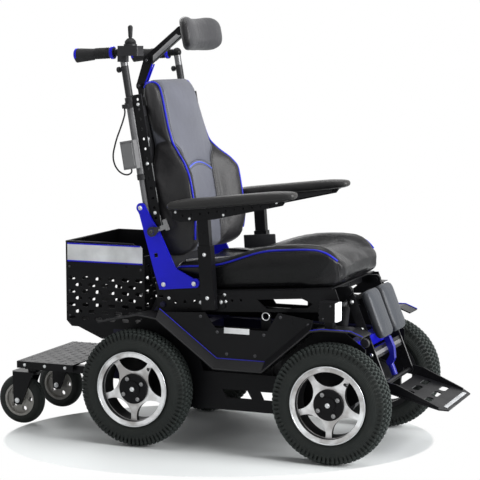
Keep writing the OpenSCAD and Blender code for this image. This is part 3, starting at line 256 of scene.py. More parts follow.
class Graph:
    """The node tree of one material."""

    def __init__(self, name: str) -> None:
        """Starts an empty material with its output and shader."""
        self.material = bpy.data.materials.new(name)
        self.material.use_nodes = True
        self.tree = self.material.node_tree
        self.tree.nodes.clear()
        self.shader = self.tree.nodes.new("ShaderNodeBsdfPrincipled")
        output = self.tree.nodes.new("ShaderNodeOutputMaterial")
        self.tree.links.new(self.shader.outputs[0], output.inputs[0])

    def node(self, kind: str, settings: dict | None = None, inputs: dict | None = None,
             out: int | str = 0) -> Sock:
        """Adds any node.

        Args:
            kind: The node's type.
            settings: Attributes to set first; "stops" gives a ramp's positions and colours.
            inputs: Values or sockets by input name or number.
            out: Which output to return.

        Returns:
            The chosen output.
        """
        node = self.tree.nodes.new(kind)
        for key, value in (settings or {}).items():
            if key == "stops":
                self._stops(node.color_ramp, value)
            else:
                setattr(node, key, value)
        for key, value in (inputs or {}).items():
            if isinstance(value, Sock):
                self.tree.links.new(value.socket, node.inputs[key])
            else:
                node.inputs[key].default_value = value
        return Sock(self, node.outputs[out])

    @staticmethod
    def _stops(ramp: bpy.types.ColorRamp, stops: Sequence[tuple[float, Point]]) -> None:
        """Sets a colour ramp's stops."""
        while len(ramp.elements) < len(stops):
            ramp.elements.new(0.5)
        for element, (position, color) in zip(ramp.elements, stops):
            element.position = position
            element.color = (*color, 1.0)

    def coords(self, scale: Point = (1, 1, 1), offset: Point = (0, 0, 0)) -> Sock:
        """Object coordinates, scaled after the offset is taken off."""
        where = self.node("ShaderNodeTexCoord", out="Object")
        if tuple(offset) != (0, 0, 0):
            where = self.node("ShaderNodeVectorMath", {"operation": "SUBTRACT"}, {0: where, 1: tuple(offset)})
        if tuple(scale) != (1, 1, 1):
            where = self.node("ShaderNodeVectorMath", {"operation": "MULTIPLY"}, {0: where, 1: tuple(scale)})
        return where

    def axis(self, index: int) -> Sock:
        """One object coordinate as a value."""
        return self.node("ShaderNodeSeparateXYZ", None, {0: self.coords()}, index)

    def up(self) -> Sock:
        """How far the surface faces up, from -1 to 1."""
        normal = self.node("ShaderNodeTexCoord", out="Normal")
        return self.node("ShaderNodeSeparateXYZ", None, {0: normal}, 2)

    def noise(self, scale: float, detail: float = 3.0, rough: float = 0.55,
              where: Sock | None = None) -> Sock:
        """Fractal noise over the object."""
        inputs = {"Vector": where or self.coords(), "Scale": scale, "Detail": detail, "Roughness": rough}
        return self.node("ShaderNodeTexNoise", {"noise_dimensions": "3D"}, inputs)

    def cells(self, scale: float, feature: str = "F1") -> Sock:
        """Distance to the nearest cell centre or edge."""
        return self.node("ShaderNodeTexVoronoi", {"feature": feature},
                         {"Vector": self.coords(), "Scale": scale}, "Distance")

    def mix(self, factor: Sock | float, a: Sock | Point, b: Sock | Point) -> Sock:
        """Mixes two colours."""
        first, second = (c if isinstance(c, Sock) else (*c, 1.0) for c in (a, b))
        return self.node("ShaderNodeMix", {"data_type": "RGBA"}, {0: factor, 6: first, 7: second}, 2)

    def bump(self, height: Sock, distance: float, strength: float = 1.0, under: Sock | None = None) -> Sock:
        """A bump from a height, over another one if given."""
        inputs: dict = {"Height": height, "Distance": distance, "Strength": strength}
        if under is not None:
            inputs["Normal"] = under
        return self.node("ShaderNodeBump", None, inputs)

    def finish(self, **sockets: "Sock | float | Point") -> bpy.types.Material:
        """Sets the shader's sockets, named with underscores for spaces.

        Args:
            sockets: Values, colours or links by socket name.

        Returns:
            The finished material.
        """
        for key, value in sockets.items():
            socket = self.shader.inputs[key.replace("_", " ")]
            if isinstance(value, Sock):
                self.tree.links.new(value.socket, socket)
            elif isinstance(value, (tuple, list)):
                socket.default_value = (*value, 1.0)
            else:
                socket.default_value = value
        return self.material


@dataclass(frozen=True)
class PowderCoat:
    """Baked powder paint with a fine orange peel and a little dust."""

    name: str
    color: Point
    rough: float = 0.38
    dust: float = 0.05
    gloss: float = 0.22

    def make(self) -> bpy.types.Material:
        """Builds the material."""
        g = Graph(self.name)
        patch = g.noise(9.0, 4.0)
        settled = (g.up().fit(0.2, 1.0) * patch.fit(0.4, 0.75)) * self.dust
        base = g.mix(settled, g.mix(patch.fit(0.3, 0.7), [c * 0.86 for c in self.color], self.color),
                     (0.12, 0.12, 0.115))
        peel = g.noise(1500.0, 2.0)
        return g.finish(Base_Color=base, Roughness=patch.fit(0.3, 0.7, self.rough - 0.06, self.rough + 0.08),
                        Normal=g.bump(peel, 0.00025, 0.22), Specular_IOR_Level=self.gloss)


@dataclass(frozen=True)
class Hide:
    """Padded leatherette with pebble grain and soft creases, painted paler on the panels that face the
    sitter, as painted light on the faces turned to the lamps.
    """

    name: str
    color: Point = (0.008, 0.008, 0.009)
    worn: Point = (0.013, 0.012, 0.014)
    # Paler colour of the panels that face the sitter: painted light where those faces meet the lamps.
    face: Point = (0.105, 0.109, 0.132)
    sheen: float = 0.32
    base_rough: float = 0.29
    # Range of the skin's turn across the chair over which the painted light fades to the darker sides.
    turn: tuple[float, float] = (0.28, 0.62)
    stops: Sequence[tuple[float, float]] = ()
    fuzz: float = 0.05

    def _pale_lit_panel(self, g: Graph) -> Sock:
        """Where the panel painted paler is: painted light on the faces turned to the lamps.

        It lies between its edges if they are given, else where the skin faces along the chair.

        Args:
            g: The material's graph.

        Returns:
            1 on the panel and 0 off it.
        """
        if not self.stops:
            normal = g.node("ShaderNodeTexCoord", out="Normal")
            across = g.node("ShaderNodeSeparateXYZ", None, {0: normal}, 1)
            return (across * across).fit(*self.turn, 1.0, 0.0)
        across, up = g.axis(1), g.axis(2)
        half: Sock | float = self.stops[0][1]
        for (low, narrow), (high, wide) in zip(self.stops, self.stops[1:]):
            half = up.fit(low, high, 0.0, wide - narrow) + half
        return (half * half - across * across).fit(-0.0003, 0.0003)

    def make(self) -> bpy.types.Material:
        """Builds the material."""
        g = Graph(self.name)
        broad = g.noise(7.0, 3.0)
        crease = g.noise(34.0, 4.0, 0.62)
        # Mask of the paler panel that carries the painted light.
        panel = self._pale_lit_panel(g)
        shade = broad.fit(0.38, 0.72)
        # Random tone on the sides, and on the panel the paler face colour as painted light.
        base = g.mix(panel, g.mix(shade, self.color, self.worn),
                     g.mix(shade, [c * 0.82 for c in self.face], self.face))
        pebble = g.cells(620.0)
        folds = g.bump(crease.fit(0.35, 0.7), 0.0014, 0.35)
        rough = broad * 0.16 + pebble.fit(0.0, 0.8) * 0.12 + self.base_rough
        return g.finish(Base_Color=base, Roughness=rough, Normal=g.bump(pebble, 0.0005, 0.4, folds),
                        Specular_IOR_Level=self.sheen, Sheen_Weight=self.fuzz, Sheen_Roughness=0.4)


@dataclass(frozen=True)
class TwoTone:
    """Paint in two colours that change at one level of a coordinate."""

    name: str
    below: Point
    above: Point
    axis: int
    level: float
    rough: float = 0.4

    def make(self) -> bpy.types.Material:
        """Builds the material."""
        g = Graph(self.name)
        patch = g.noise(12.0, 3.0)
        upper = g.axis(self.axis) > self.level
        base = g.mix(upper, g.mix(patch, [c * 0.8 for c in self.below], self.below),
                     g.mix(patch, [c * 0.8 for c in self.above], self.above))
        return g.finish(Base_Color=base, Roughness=(patch * 0.12 + (self.rough - 0.06)),
                        Normal=g.bump(g.noise(1400.0, 2.0), 0.00025, 0.25), Specular_IOR_Level=0.25)


@dataclass(frozen=True)
class TyreRubber:
    """Black tyre rubber with moulding marks, patches of road dust on the walls and a tread painted lighter as
    a painted highlight.
    """

    name: str
    centre: Point
    radius: float

    def make(self) -> bpy.types.Material:
        """Builds the material."""
        g = Graph(self.name)
        flat = g.coords((1, 0, 1), self.centre)
        reach = g.node("ShaderNodeVectorMath", {"operation": "LENGTH"}, {0: flat}, "Value")
        ribs = (reach * (math.tau / 0.0042)).sin()
        inner = reach.fit(self.radius * 0.70, self.radius * 0.72)
        wall = inner * reach.fit(self.radius * 0.88, self.radius * 0.90, 1, 0)
        dirt = g.noise(26.0, 5.0).fit(0.42, 0.78) * 0.5
        # Outer band of the tyre painted lighter: a painted highlight on the knobs and tread that face the
        # light.
        tread = reach.fit(self.radius * 0.90, self.radius * 0.97)
        flanks = g.mix(dirt, (0.013, 0.0155, 0.0145), (0.028, 0.030, 0.027))
        base = g.mix(tread, flanks, (0.030, 0.036, 0.034))
        fine = g.bump(g.noise(900.0, 2.0), 0.0003, 0.4)
        return g.finish(Base_Color=base, Roughness=(dirt * 0.2 + 0.62),
                        Normal=g.bump(ribs * wall, 0.0005, 0.5, fine), Specular_IOR_Level=0.2)


@dataclass(frozen=True)
class TurnedAlloy:
    """Machined aluminium with fine turning lines about the axle, and near-black painted shade on the faces
    that don't face out along the axle, in the hollows behind the spokes.
    """

    name: str
    centre: Point
    side: int

    def make(self) -> bpy.types.Material:
        """Builds the material."""
        g = Graph(self.name)
        flat = g.coords((1, 0, 1), self.centre)
        reach = g.node("ShaderNodeVectorMath", {"operation": "LENGTH"}, {0: flat}, "Value")
        lines = (reach * (math.tau / 0.0011)).sin()
        normal = g.node("ShaderNodeTexCoord", out="Normal")
        facing = g.node("ShaderNodeSeparateXYZ", None, {0: normal}, 1) * float(self.side)
        machined = facing.fit(0.75, 0.95)
        cloud = g.noise(15.0, 3.0)
        bare = g.mix(cloud.fit(0.38, 0.62), (0.36, 0.345, 0.34), (0.76, 0.76, 0.77))
        # Faces that don't face out along the axle get near-black colour: painted shade in the windows and
        # barrel behind the spokes.
        base = g.mix(machined, (0.010, 0.010, 0.011), bare)
        return g.finish(Base_Color=base, Metallic=machined, Specular_IOR_Level=0.15,
                        Roughness=(0.44 - machined * 0.16 + cloud * 0.1),
                        Normal=g.bump(lines, 0.00012, 0.25))


@dataclass(frozen=True)
class BareMetal:
    """Plated or machined metal with faint brushing along one axis."""

    name: str
    color: Point = (0.66, 0.67, 0.68)
    rough: float = 0.3
    grain: Point = (600, 600, 12)

    def make(self) -> bpy.types.Material:
        """Builds the material."""
        g = Graph(self.name)
        brushed = g.noise(1.0, 2.0, 0.6, g.coords(self.grain))
        cloud = g.noise(40.0, 3.0)
        base = g.mix(cloud.fit(0.35, 0.7), [c * 0.84 for c in self.color], self.color)
        return g.finish(Base_Color=base, Metallic=0.95, Roughness=(brushed * 0.14 + (self.rough - 0.06)),
                        Normal=g.bump(brushed, 0.0002, 0.2))


@dataclass(frozen=True)
class Moulding:
    """Moulded plastic or rubber with a fine spark-eroded texture."""

    name: str
    color: Point = (0.018, 0.018, 0.02)
    rough: float = 0.5
    texture: float = 1100.0
    depth: float = 0.35

    def make(self) -> bpy.types.Material:
        """Builds the material."""
        g = Graph(self.name)
        patch = g.noise(14.0, 3.0)
        grit = g.cells(self.texture)
        dark, light = [c * 0.85 for c in self.color], [min(1, c * 1.15) for c in self.color]
        base = g.mix(patch.fit(0.35, 0.7), dark, light)
        return g.finish(Base_Color=base, Roughness=(patch * 0.14 + (self.rough - 0.07)),
                        Normal=g.bump(grit, 0.0003, self.depth), Specular_IOR_Level=0.28)


@dataclass(frozen=True)
class Webbing:
    """Woven strap: warp ribs along the strap and weft across them."""

    name: str
    color: Point = (0.03, 0.03, 0.034)

    def make(self) -> bpy.types.Material:
        """Builds the material."""
        g = Graph(self.name)
        warp = (g.axis(0) * (math.tau / 0.0024)).sin()
        weft = (g.axis(1) * (math.tau / 0.0016)).sin()
        weave = (warp * weft).fit(-1, 1)
        base = g.mix(weave, [c * 0.6 for c in self.color], [c * 1.5 for c in self.color])
        return g.finish(Base_Color=base, Roughness=(0.82 - weave * 0.12), Normal=g.bump(weave, 0.0005, 0.6),
                        Sheen_Weight=0.25)


@dataclass(frozen=True)
class LampCover:
    """Frosted lamp cover, lit from behind in cells."""

    name: str

    def make(self) -> bpy.types.Material:
        """Builds the material."""
        g = Graph(self.name)
        columns = (g.axis(1) * (math.tau / 0.0105)).sin()
        rows = (g.axis(2) * (math.tau / 0.0135)).sin()
        glow = (columns * rows).fit(-1, 1, 0.55, 1.0)
        base = g.mix(glow, (0.75, 0.78, 0.82), (0.97, 0.98, 1.0))
        return g.finish(Base_Color=base, Roughness=0.22, Emission_Color=base, Emission_Strength=0.9,
                        Normal=g.bump(glow, 0.0006, 0.4), Coat_Weight=0.4)


class Paints:
    """The finishes that several sub-assemblies share."""

    def __init__(self) -> None:
        """Builds each material once."""
        self.black = PowderCoat("satin_black_coat", (0.006, 0.006, 0.007), 0.32, 0.02, 0.13).make()
        self.plate = PowderCoat("chassis_black_coat", (0.0045, 0.0045, 0.0055), 0.38, 0.02, 0.11).make()
        self.blue = PowderCoat("royal_blue_coat", (0.012, 0.012, 0.68), 0.36, 0.0, 0.25).make()
        # The back's paler front panel: painted light where it faces the key lamp, over a panel a little paler
        # than its sides.
        self.hide = Hide("black_leatherette", (0.008, 0.0076, 0.0086), (0.014, 0.0132, 0.0148),
                         (0.122, 0.127, 0.155), stops=((0.85, 0.099), (0.92, 0.143), (1.108, 0.119))).make()
        # Headrest painted paler on its front, top and back and near black on its sides: painted light and
        # painted shade.
        self.head = Hide("headrest_leatherette", face=(0.044, 0.044, 0.048), turn=(0.06, 0.2)).make()
        self.damper = PowderCoat("damper_coat", (0.008, 0.009, 0.24), 0.3, 0.0, 0.3).make()
        # Seat painted paler on its top and front between the sides: painted light where the lamps fall, with
        # near-black sides.
        self.seat = Hide("seat_leatherette", (0.0035, 0.0035, 0.004), (0.006, 0.0058, 0.0065),
                         (0.010, 0.010, 0.011), sheen=0.18, base_rough=0.12, fuzz=0.0,
                         stops=((0.0, 0.19), (1.0, 0.19))).make()
        # Arm and calf pads painted paler where they face along the chair: painted light.
        self.pad = Hide("arm_pad_skin", (0.008, 0.008, 0.008), (0.012, 0.011, 0.011),
                        (0.018, 0.017, 0.016)).make()
        self.calf = Hide("calf_pad_skin", (0.012, 0.013, 0.016), (0.02, 0.022, 0.026),
                         (0.034, 0.038, 0.046)).make()
        self.welt = Moulding("blue_welt", (0.008, 0.012, 0.42), 0.42, 1600.0, 0.3).make()
        self.thread = Moulding("black_thread", (0.022, 0.022, 0.024), 0.75, 2200.0).make()
        self.zinc = BareMetal("zinc_plate", (0.70, 0.71, 0.72), 0.3).make()
        self.tube = BareMetal("drawn_aluminium", (0.30, 0.30, 0.305), 0.44).make()
        self.post = BareMetal("post_tube", (0.15, 0.15, 0.155), 0.42).make()
        self.tread = BareMetal("tread_bars", (0.11, 0.11, 0.115), 0.4).make()
        self.bright = BareMetal("polished_alloy", (0.56, 0.57, 0.58), 0.3).make()
        self.arch = Moulding("pale_blue_welt", (0.10, 0.14, 0.66), 0.4, 1600.0, 0.3).make()
        self.dark_steel = BareMetal("black_oxide", (0.07, 0.07, 0.075), 0.38).make()
        self.plastic = Moulding("black_plastic", (0.016, 0.016, 0.018), 0.46).make()
        self.rubber = Moulding("soft_rubber", (0.014, 0.014, 0.015), 0.66, 800.0, 0.5).make()
        self.pale = Moulding("pale_plate", (0.78, 0.79, 0.80), 0.35, 1400.0, 0.15).make()
        self.caster = Moulding("grey_hub_plastic", (0.34, 0.33, 0.31), 0.5).make()
        self.grit = Moulding("grip_strip", (0.42, 0.43, 0.44), 0.85, 700.0, 1.0).make()
        self.webbing = Webbing("black_webbing").make()
        self.lamp = LampCover("lamp_cover").make()


def attach(piece: bpy.types.Object, body: str) -> None:
    """Rides a piece on a body and logs which body it rides."""
    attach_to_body(piece, body)
    LOG.info("%s rides %s", piece.name, body)


class Shape:
    """Collects the faces of one piece, in millimetres of some axes, and makes its object."""

    def __init__(self, axes: Matrix) -> None:
        """Starts empty, in the given axes."""
        self.axes = axes
        self.bm = bmesh.new()

    def box(self, low: Point, high: Point, turn: Matrix | None = None) -> "Shape":
        """Adds a block between two corners, turned about its centre if asked."""
        centre = (Vector(low) + Vector(high)) / 2
        size = Vector(high) - Vector(low)
        place = Matrix.Translation(centre) @ (turn or Matrix.Identity(4)) @ Matrix.Diagonal((*size, 1))
        bmesh.ops.create_cube(self.bm, size=1.0, matrix=place)
        return self

    def lathe(self, profile: Sequence[Point], place: Matrix, steps: int = 40, ring: bool = False) -> "Shape":
        """Turns a profile of (radius, height) about Z and closes its ends.

        Args:
            profile: Points from the bottom to the top.
            place: Where the turned form goes, in this shape's axes.
            steps: How many sides.
            ring: Whether the profile runs back to its own start, as round a tyre.

        Returns:
            This shape.
        """
        rings = [[self.bm.verts.new(place @ Vector((x, y, z))) for x, y in circle(r, steps)]
                 for r, z in profile]
        for low, high in zip(rings, rings[1:] + rings[:1] if ring else rings[1:]):
            for i in range(steps):
                j = (i + 1) % steps
                self.bm.faces.new((low[i], low[j], high[j], high[i]))
        if not ring:
            self.bm.faces.new(rings[0][::-1])
            self.bm.faces.new(rings[-1])
        return self

    def plate(self, outline: Sequence[Point], y0: float, y1: float) -> "Shape":
        """Adds a plate drawn in XZ, reaching from y0 to y1."""
        near = [self.bm.verts.new((x, y0, z)) for x, z in outline]
        far = [self.bm.verts.new((x, y1, z)) for x, z in outline]
        n = len(outline)
        self.bm.faces.new(near)
        self.bm.faces.new(far[::-1])
        for i in range(n):
            j = (i + 1) % n
            self.bm.faces.new((near[j], near[i], far[i], far[j]))
        return self

    def ribbon(self, line: Sequence[Point], across: Point, thick: float) -> "Shape":
        """Adds a flat band along a line.

        Args:
            line: Points along the middle of the band's underside.
            across: Half the width, as a vector.
            thick: Thickness, away from the line on the side of the band's normal.

        Returns:
            This shape.
        """
        half = Vector(across)
        rows = []
        pts = [Vector(p) for p in line]
        for i, p in enumerate(pts):
            along = (pts[min(i + 1, len(pts) - 1)] - pts[max(i - 1, 0)]).normalized()
            normal = half.cross(along).normalized() * thick
            corners = (p - half, p + half, p + half + normal, p - half + normal)
            rows.append([self.bm.verts.new(q) for q in corners])
        for a, b in zip(rows, rows[1:]):
            for i in range(4):
                j = (i + 1) % 4
                self.bm.faces.new((a[i], a[j], b[j], b[i]))
        self.bm.faces.new(rows[0][::-1])
        self.bm.faces.new(rows[-1])
        return self

    def make(self, name: str, material: bpy.types.Material, body: str, bevel: float = 0.0,
             smooth: bool = True) -> bpy.types.Object:
        """Makes the object, rides it on a body and gives it its finish.

        Args:
            name: The piece's name.
            material: Its finish.
            body: The CAD body that it moves with, or "" for a piece that rides none.
            bevel: Width of an edge bevel, in millimetres.
            smooth: Whether the faces are shaded smooth, with sharp edges kept.

        Returns:
            The object.
        """
        bmesh.ops.transform(self.bm, matrix=self.axes, verts=self.bm.verts)
        bmesh.ops.recalc_face_normals(self.bm, faces=self.bm.faces)
        if bevel:
            edges = [e for e in self.bm.edges if len(e.link_faces) == 2 and e.calc_face_angle(0) > 0.6]
            bmesh.ops.bevel(self.bm, geom=edges, offset=bevel * MM, segments=2, affect="EDGES", profile=0.6,
                            clamp_overlap=True)
        mesh = bpy.data.meshes.new(name)
        self.bm.to_mesh(mesh)
        self.bm.free()
        piece = bpy.data.objects.new(name, mesh)
        bpy.context.collection.objects.link(piece)
        mesh.materials.append(material)
        if smooth:
            mesh.shade_smooth()
            mesh.set_sharp_from_angle(angle=math.radians(35))
        if body:
            attach(piece, body)
        return piece


class Sewing:
    """Geometry Nodes trees that sweep a section along a path or set heads on points."""

    def __init__(self) -> None:
        """Builds both trees."""
        self.sweep_tree = self._build_sweep()
        self.heads_tree = self._build_heads()

    @staticmethod
    def _socket(tree: bpy.types.NodeTree, name: str, kind: str, default: float | None = None) -> str:
        """Adds a named input and returns its identifier."""
        item = tree.interface.new_socket(name, in_out="INPUT", socket_type=kind)
        if default is not None:
            item.default_value = default
        return item.identifier

    def _build_sweep(self) -> bpy.types.NodeTree:
        """A tree that turns the edges of a path into a round welt."""
        tree = bpy.data.node_groups.new("sweep_welt", "GeometryNodeTree")
        self._socket(tree, "Path", "NodeSocketGeometry")
        tree.interface.new_socket("Welt", in_out="OUTPUT", socket_type="NodeSocketGeometry")
        self.radius_id = self._socket(tree, "Radius", "NodeSocketFloat", 0.003)
        self.sides_id = self._socket(tree, "Sides", "NodeSocketInt", 8)
        self.sweep_finish_id = self._socket(tree, "Finish", "NodeSocketMaterial")
        new, link = tree.nodes.new, tree.links.new
        enter, leave = new("NodeGroupInput"), new("NodeGroupOutput")
        curve, circle = new("GeometryNodeMeshToCurve"), new("GeometryNodeCurvePrimitiveCircle")
        sweep, smooth = new("GeometryNodeCurveToMesh"), new("GeometryNodeSetShadeSmooth")
        solid, finish = new("GeometryNodeRealizeInstances"), new("GeometryNodeSetMaterial")
        sweep.inputs["Fill Caps"].default_value = True
        link(enter.outputs["Path"], curve.inputs["Mesh"])
        link(enter.outputs["Sides"], circle.inputs["Resolution"])
        link(enter.outputs["Radius"], circle.inputs["Radius"])
        link(curve.outputs["Curve"], sweep.inputs["Curve"])
        link(circle.outputs["Curve"], sweep.inputs["Profile Curve"])
        link(sweep.outputs["Mesh"], smooth.inputs["Geometry"])
        link(smooth.outputs["Geometry"], solid.inputs["Geometry"])
        link(solid.outputs["Geometry"], finish.inputs["Geometry"])
        link(enter.outputs["Finish"], finish.inputs["Material"])
        link(finish.outputs["Geometry"], leave.inputs["Welt"])
        return tree

    def _build_heads(self) -> bpy.types.NodeTree:
        """A tree that sets one head on every point, along the point's own direction."""
        tree = bpy.data.node_groups.new("set_heads", "GeometryNodeTree")
        self._socket(tree, "Points", "NodeSocketGeometry")
        tree.interface.new_socket("Heads", in_out="OUTPUT", socket_type="NodeSocketGeometry")
        self.head_id = self._socket(tree, "Head", "NodeSocketObject")
        self.scale_id = self._socket(tree, "Scale", "NodeSocketFloat", 1.0)
        self.spin_id = self._socket(tree, "Spin", "NodeSocketFloat", 0.0)
        self.seed_id = self._socket(tree, "Seed", "NodeSocketInt", 7)
        self.heads_finish_id = self._socket(tree, "Finish", "NodeSocketMaterial")
        new, link = tree.nodes.new, tree.links.new
        enter, leave = new("NodeGroupInput"), new("NodeGroupOutput")
        info, heads = new("GeometryNodeObjectInfo"), new("GeometryNodeInstanceOnPoints")
        along, align = new("GeometryNodeInputNamedAttribute"), new("FunctionNodeAlignRotationToVector")
        chance, roll = new("FunctionNodeRandomValue"), new("FunctionNodeAxisAngleToRotation")
        turn = new("FunctionNodeRotateRotation")
        solid, finish = new("GeometryNodeRealizeInstances"), new("GeometryNodeSetMaterial")
        along.data_type = "FLOAT_VECTOR"
        along.inputs["Name"].default_value = "along"
        align.axis = "Z"
        chance.data_type = "FLOAT"
        turn.rotation_space = "LOCAL"
        roll.inputs["Axis"].default_value = (0, 0, 1)
        link(enter.outputs["Head"], info.inputs["Object"])
        link(enter.outputs["Seed"], chance.inputs["Seed"])
        link(enter.outputs["Spin"], chance.inputs[3])
        link(chance.outputs[1], roll.inputs["Angle"])
        link(along.outputs["Attribute"], align.inputs["Vector"])
        link(align.outputs["Rotation"], turn.inputs["Rotation"])
        link(roll.outputs["Rotation"], turn.inputs["Rotate By"])
        link(enter.outputs["Points"], heads.inputs["Points"])
        link(info.outputs["Geometry"], heads.inputs["Instance"])
        link(turn.outputs["Rotation"], heads.inputs["Rotation"])
        link(enter.outputs["Scale"], heads.inputs["Scale"])
        link(heads.outputs["Instances"], solid.inputs["Geometry"])
        link(solid.outputs["Geometry"], finish.inputs["Geometry"])
        link(enter.outputs["Finish"], finish.inputs["Material"])
        link(finish.outputs["Geometry"], leave.inputs["Heads"])
        return tree

    @staticmethod
    def _bake(carrier: bpy.types.Object, name: str, body: str,
              material: bpy.types.Material) -> bpy.types.Object:
        """Turns an evaluated carrier into a plain piece of one finish that rides a body."""
        graph = bpy.context.evaluated_depsgraph_get()
        mesh = bpy.data.meshes.new_from_object(carrier.evaluated_get(graph), depsgraph=graph)
        bpy.data.objects.remove(carrier)
        mesh.name = name
        mesh.materials.clear()
        mesh.materials.append(material)
        piece = bpy.data.objects.new(name, mesh)
        bpy.context.collection.objects.link(piece)
        attach(piece, body)
        return piece

    def welt(self, name: str, paths: Sequence[Path], radius: float, material: bpy.types.Material, body: str,
             closed: bool = False, sides: int = 8) -> bpy.types.Object:
        """Sweeps a round welt along paths.

        Args:
            name: The piece's name.
            paths: Points in metres.
            radius: Radius of the welt in millimetres.
            material: Its finish.
            body: The body it rides.
            closed: Whether each path is a loop.
            sides: Sides of the section.

        Returns:
            The piece.
        """
        verts: list[Vector] = []
        edges: list[tuple[int, int]] = []
        for path in paths:
            start = len(verts)
            verts += path
            edges += [(start + i, start + i + 1) for i in range(len(path) - 1)]
            if closed:
                edges.append((len(verts) - 1, start))
        mesh = bpy.data.meshes.new(name + "_path")
        mesh.from_pydata(verts, edges, [])
        carrier = bpy.data.objects.new(name + "_path", mesh)
        bpy.context.collection.objects.link(carrier)
        modifier = carrier.modifiers.new("sweep", "NODES")
        modifier.node_group = self.sweep_tree
        modifier[self.radius_id] = radius * MM
        modifier[self.sides_id] = sides
        modifier[self.sweep_finish_id] = material
        piece = self._bake(carrier, name, body, material)
        piece.data.shade_smooth()
        return piece

    def heads(self, name: str, head: bpy.types.Object, points: Sequence[tuple[Vector, Vector]],
              material: bpy.types.Material, body: str, spin: float = 0.0,
              scale: float = 1.0) -> bpy.types.Object:
        """Sets copies of a head on points.

        Args:
            name: The piece's name.
            head: A small mesh with Z out of the surface.
            points: Places and directions, in metres.
            material: The finish.
            body: The body they ride.
            spin: Largest chance turn about the direction, in radians.
            scale: Size of each copy.

        Returns:
            The piece.
        """
        mesh = bpy.data.meshes.new(name + "_points")
        mesh.from_pydata([p for p, _ in points], [], [])
        along = mesh.attributes.new("along", "FLOAT_VECTOR", "POINT")
        for item, (_, direction) in zip(along.data, points):
            item.vector = direction
        carrier = bpy.data.objects.new(name + "_points", mesh)
        bpy.context.collection.objects.link(carrier)
        modifier = carrier.modifiers.new("heads", "NODES")
        modifier.node_group = self.heads_tree
        modifier[self.head_id] = head
        modifier[self.scale_id] = scale
        modifier[self.spin_id] = spin
        modifier[self.seed_id] = 7
        modifier[self.heads_finish_id] = material
        return self._bake(carrier, name, body, material)


class Heads:
    """Small meshes that Geometry Nodes repeat: bolts, stitches, tread bars."""

    def __init__(self) -> None:
        """Builds the heads as hidden masters."""
        self.masters: list[bpy.types.Object] = []
        self.bolt = self._bolt()
        self.stitch = self._stitch()
        self.bar_right = self._bar(45)
        self.bar_left = self._bar(-45)
        self.knobs = {kind: self._knob(kind.name.lower(), *kind.value[2:5]) for kind in Knob}

    def _master(self, name: str, rings: Sequence[Sequence[Point]], turn: float = 0.0) -> bpy.types.Object:
        """Joins rings of points into a closed form and keeps it as a master for instances.

        Args:
            name: The master's name.
            rings: Rings of equally many points, in millimetres, from one end to the other.
            turn: A turn about Z, in degrees.

        Returns:
            The master.
        """
        bm = bmesh.new()
        rows = [[bm.verts.new(Vector(p) * MM) for p in ring] for ring in rings]
        for low, high in zip(rows, rows[1:]):
            for i in range(len(low)):
                j = (i + 1) % len(low)
                bm.faces.new((low[i], low[j], high[j], high[i]))
        bm.faces.new(rows[0][::-1])
        bm.faces.new(rows[-1])
        bmesh.ops.transform(bm, matrix=Matrix.Rotation(math.radians(turn), 4, "Z"), verts=bm.verts)
        bmesh.ops.recalc_face_normals(bm, faces=bm.faces)
        mesh = bpy.data.meshes.new(name)
        bm.to_mesh(mesh)
        bm.free()
        master = bpy.data.objects.new(name, mesh)
        bpy.context.collection.objects.link(master)
        self.masters.append(master)
        return master

    def _bolt(self) -> bpy.types.Object:
        """A button-head socket bolt, 10 mm across, on its washer."""
        rows = ((6.4, 0.0), (6.4, 0.8), (5.0, 0.8), (4.9, 1.8), (4.2, 3.0), (2.6, 3.5), (2.5, 1.6))
        return self._master("bolt_master", [[(x, y, z) for x, y in circle(r, 12)] for r, z in rows])

    def _stitch(self) -> bpy.types.Object:
        """One raised stitch, 4.4 mm long along Z."""
        rows = ((0.3, -2.2), (0.8, -1.3), (0.8, 1.3), (0.3, 2.2))
        return self._master("stitch_master", [[(x, y, z) for x, y in circle(r, 6)] for r, z in rows])

    def _bar(self, turn: float) -> bpy.types.Object:
        """One raised lozenge of tread plate, 17 mm long, turned about Z."""
        rings = []
        for tip, flat, half, z in ((8.5, 3, 2.6, 0), (6, 2.4, 1.4, 1.3)):
            outline = ((-tip, 0), (-flat, -half), (flat, -half), (tip, 0), (flat, half), (-flat, half))
            rings.append([(x, y, z) for x, y in outline])
        return self._master("tread_master", rings, turn)

    def _knob(self, name: str, wide: float, long: float, tall: float) -> bpy.types.Object:
        """One tread knob with Z out of the tyre, X round it and Y across it."""
        corners = ((-1, -1), (1, -1), (1, 1), (-1, 1))
        rings = [[(x * wide / 2 * grow, y * long / 2 * grow, z) for x, y in corners]
                 for grow, z in ((1.0, 0.0), (0.94, tall - 1.6), (0.76, tall))]
        return self._master(f"knob_master_{name}", rings)

    def clear(self) -> None:
        """Removes the masters once everything is placed."""
        for master in self.masters:
            bpy.data.objects.remove(master)


@dataclass
class Workshop:
    """What every sub-assembly needs to build and dress its pieces."""

    paints: Paints = field(default_factory=Paints)
    sewing: Sewing = field(default_factory=Sewing)
    heads: Heads = field(default_factory=Heads)
    bolt_spin: float = 3.1

    @staticmethod
    def coat(material: bpy.types.Material, *nodes: str) -> None:
        """Gives CAD nodes a finish."""
        for name in nodes:
            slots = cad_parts[name].data.materials
            for i in range(len(slots)):
                slots[i] = material
            if not slots:
                slots.append(material)

    def bolts(self, name: str, axes: Matrix, spots: Sequence[Point], out: Point, body: str,
              scale: float = 1.0, material: bpy.types.Material | None = None) -> bpy.types.Object:
        """Sets bolt heads on a flat face.

        Args:
            name: The piece's name.
            axes: The axes that the spots are given in, in millimetres.
            spots: Where the heads sit.
            out: The direction out of the face, in the same axes.
            body: The body they ride.
            scale: Size against a 10 mm head.
            material: Their finish, zinc if not given.

        Returns:
            The piece.
        """
        away = (axes.to_3x3() @ Vector(out)).normalized()
        points = [(axes @ Vector(spot), away) for spot in spots]
        finish = material or self.paints.zinc
        return self.sewing.heads(name, self.heads.bolt, points, finish, body, self.bolt_spin, scale)


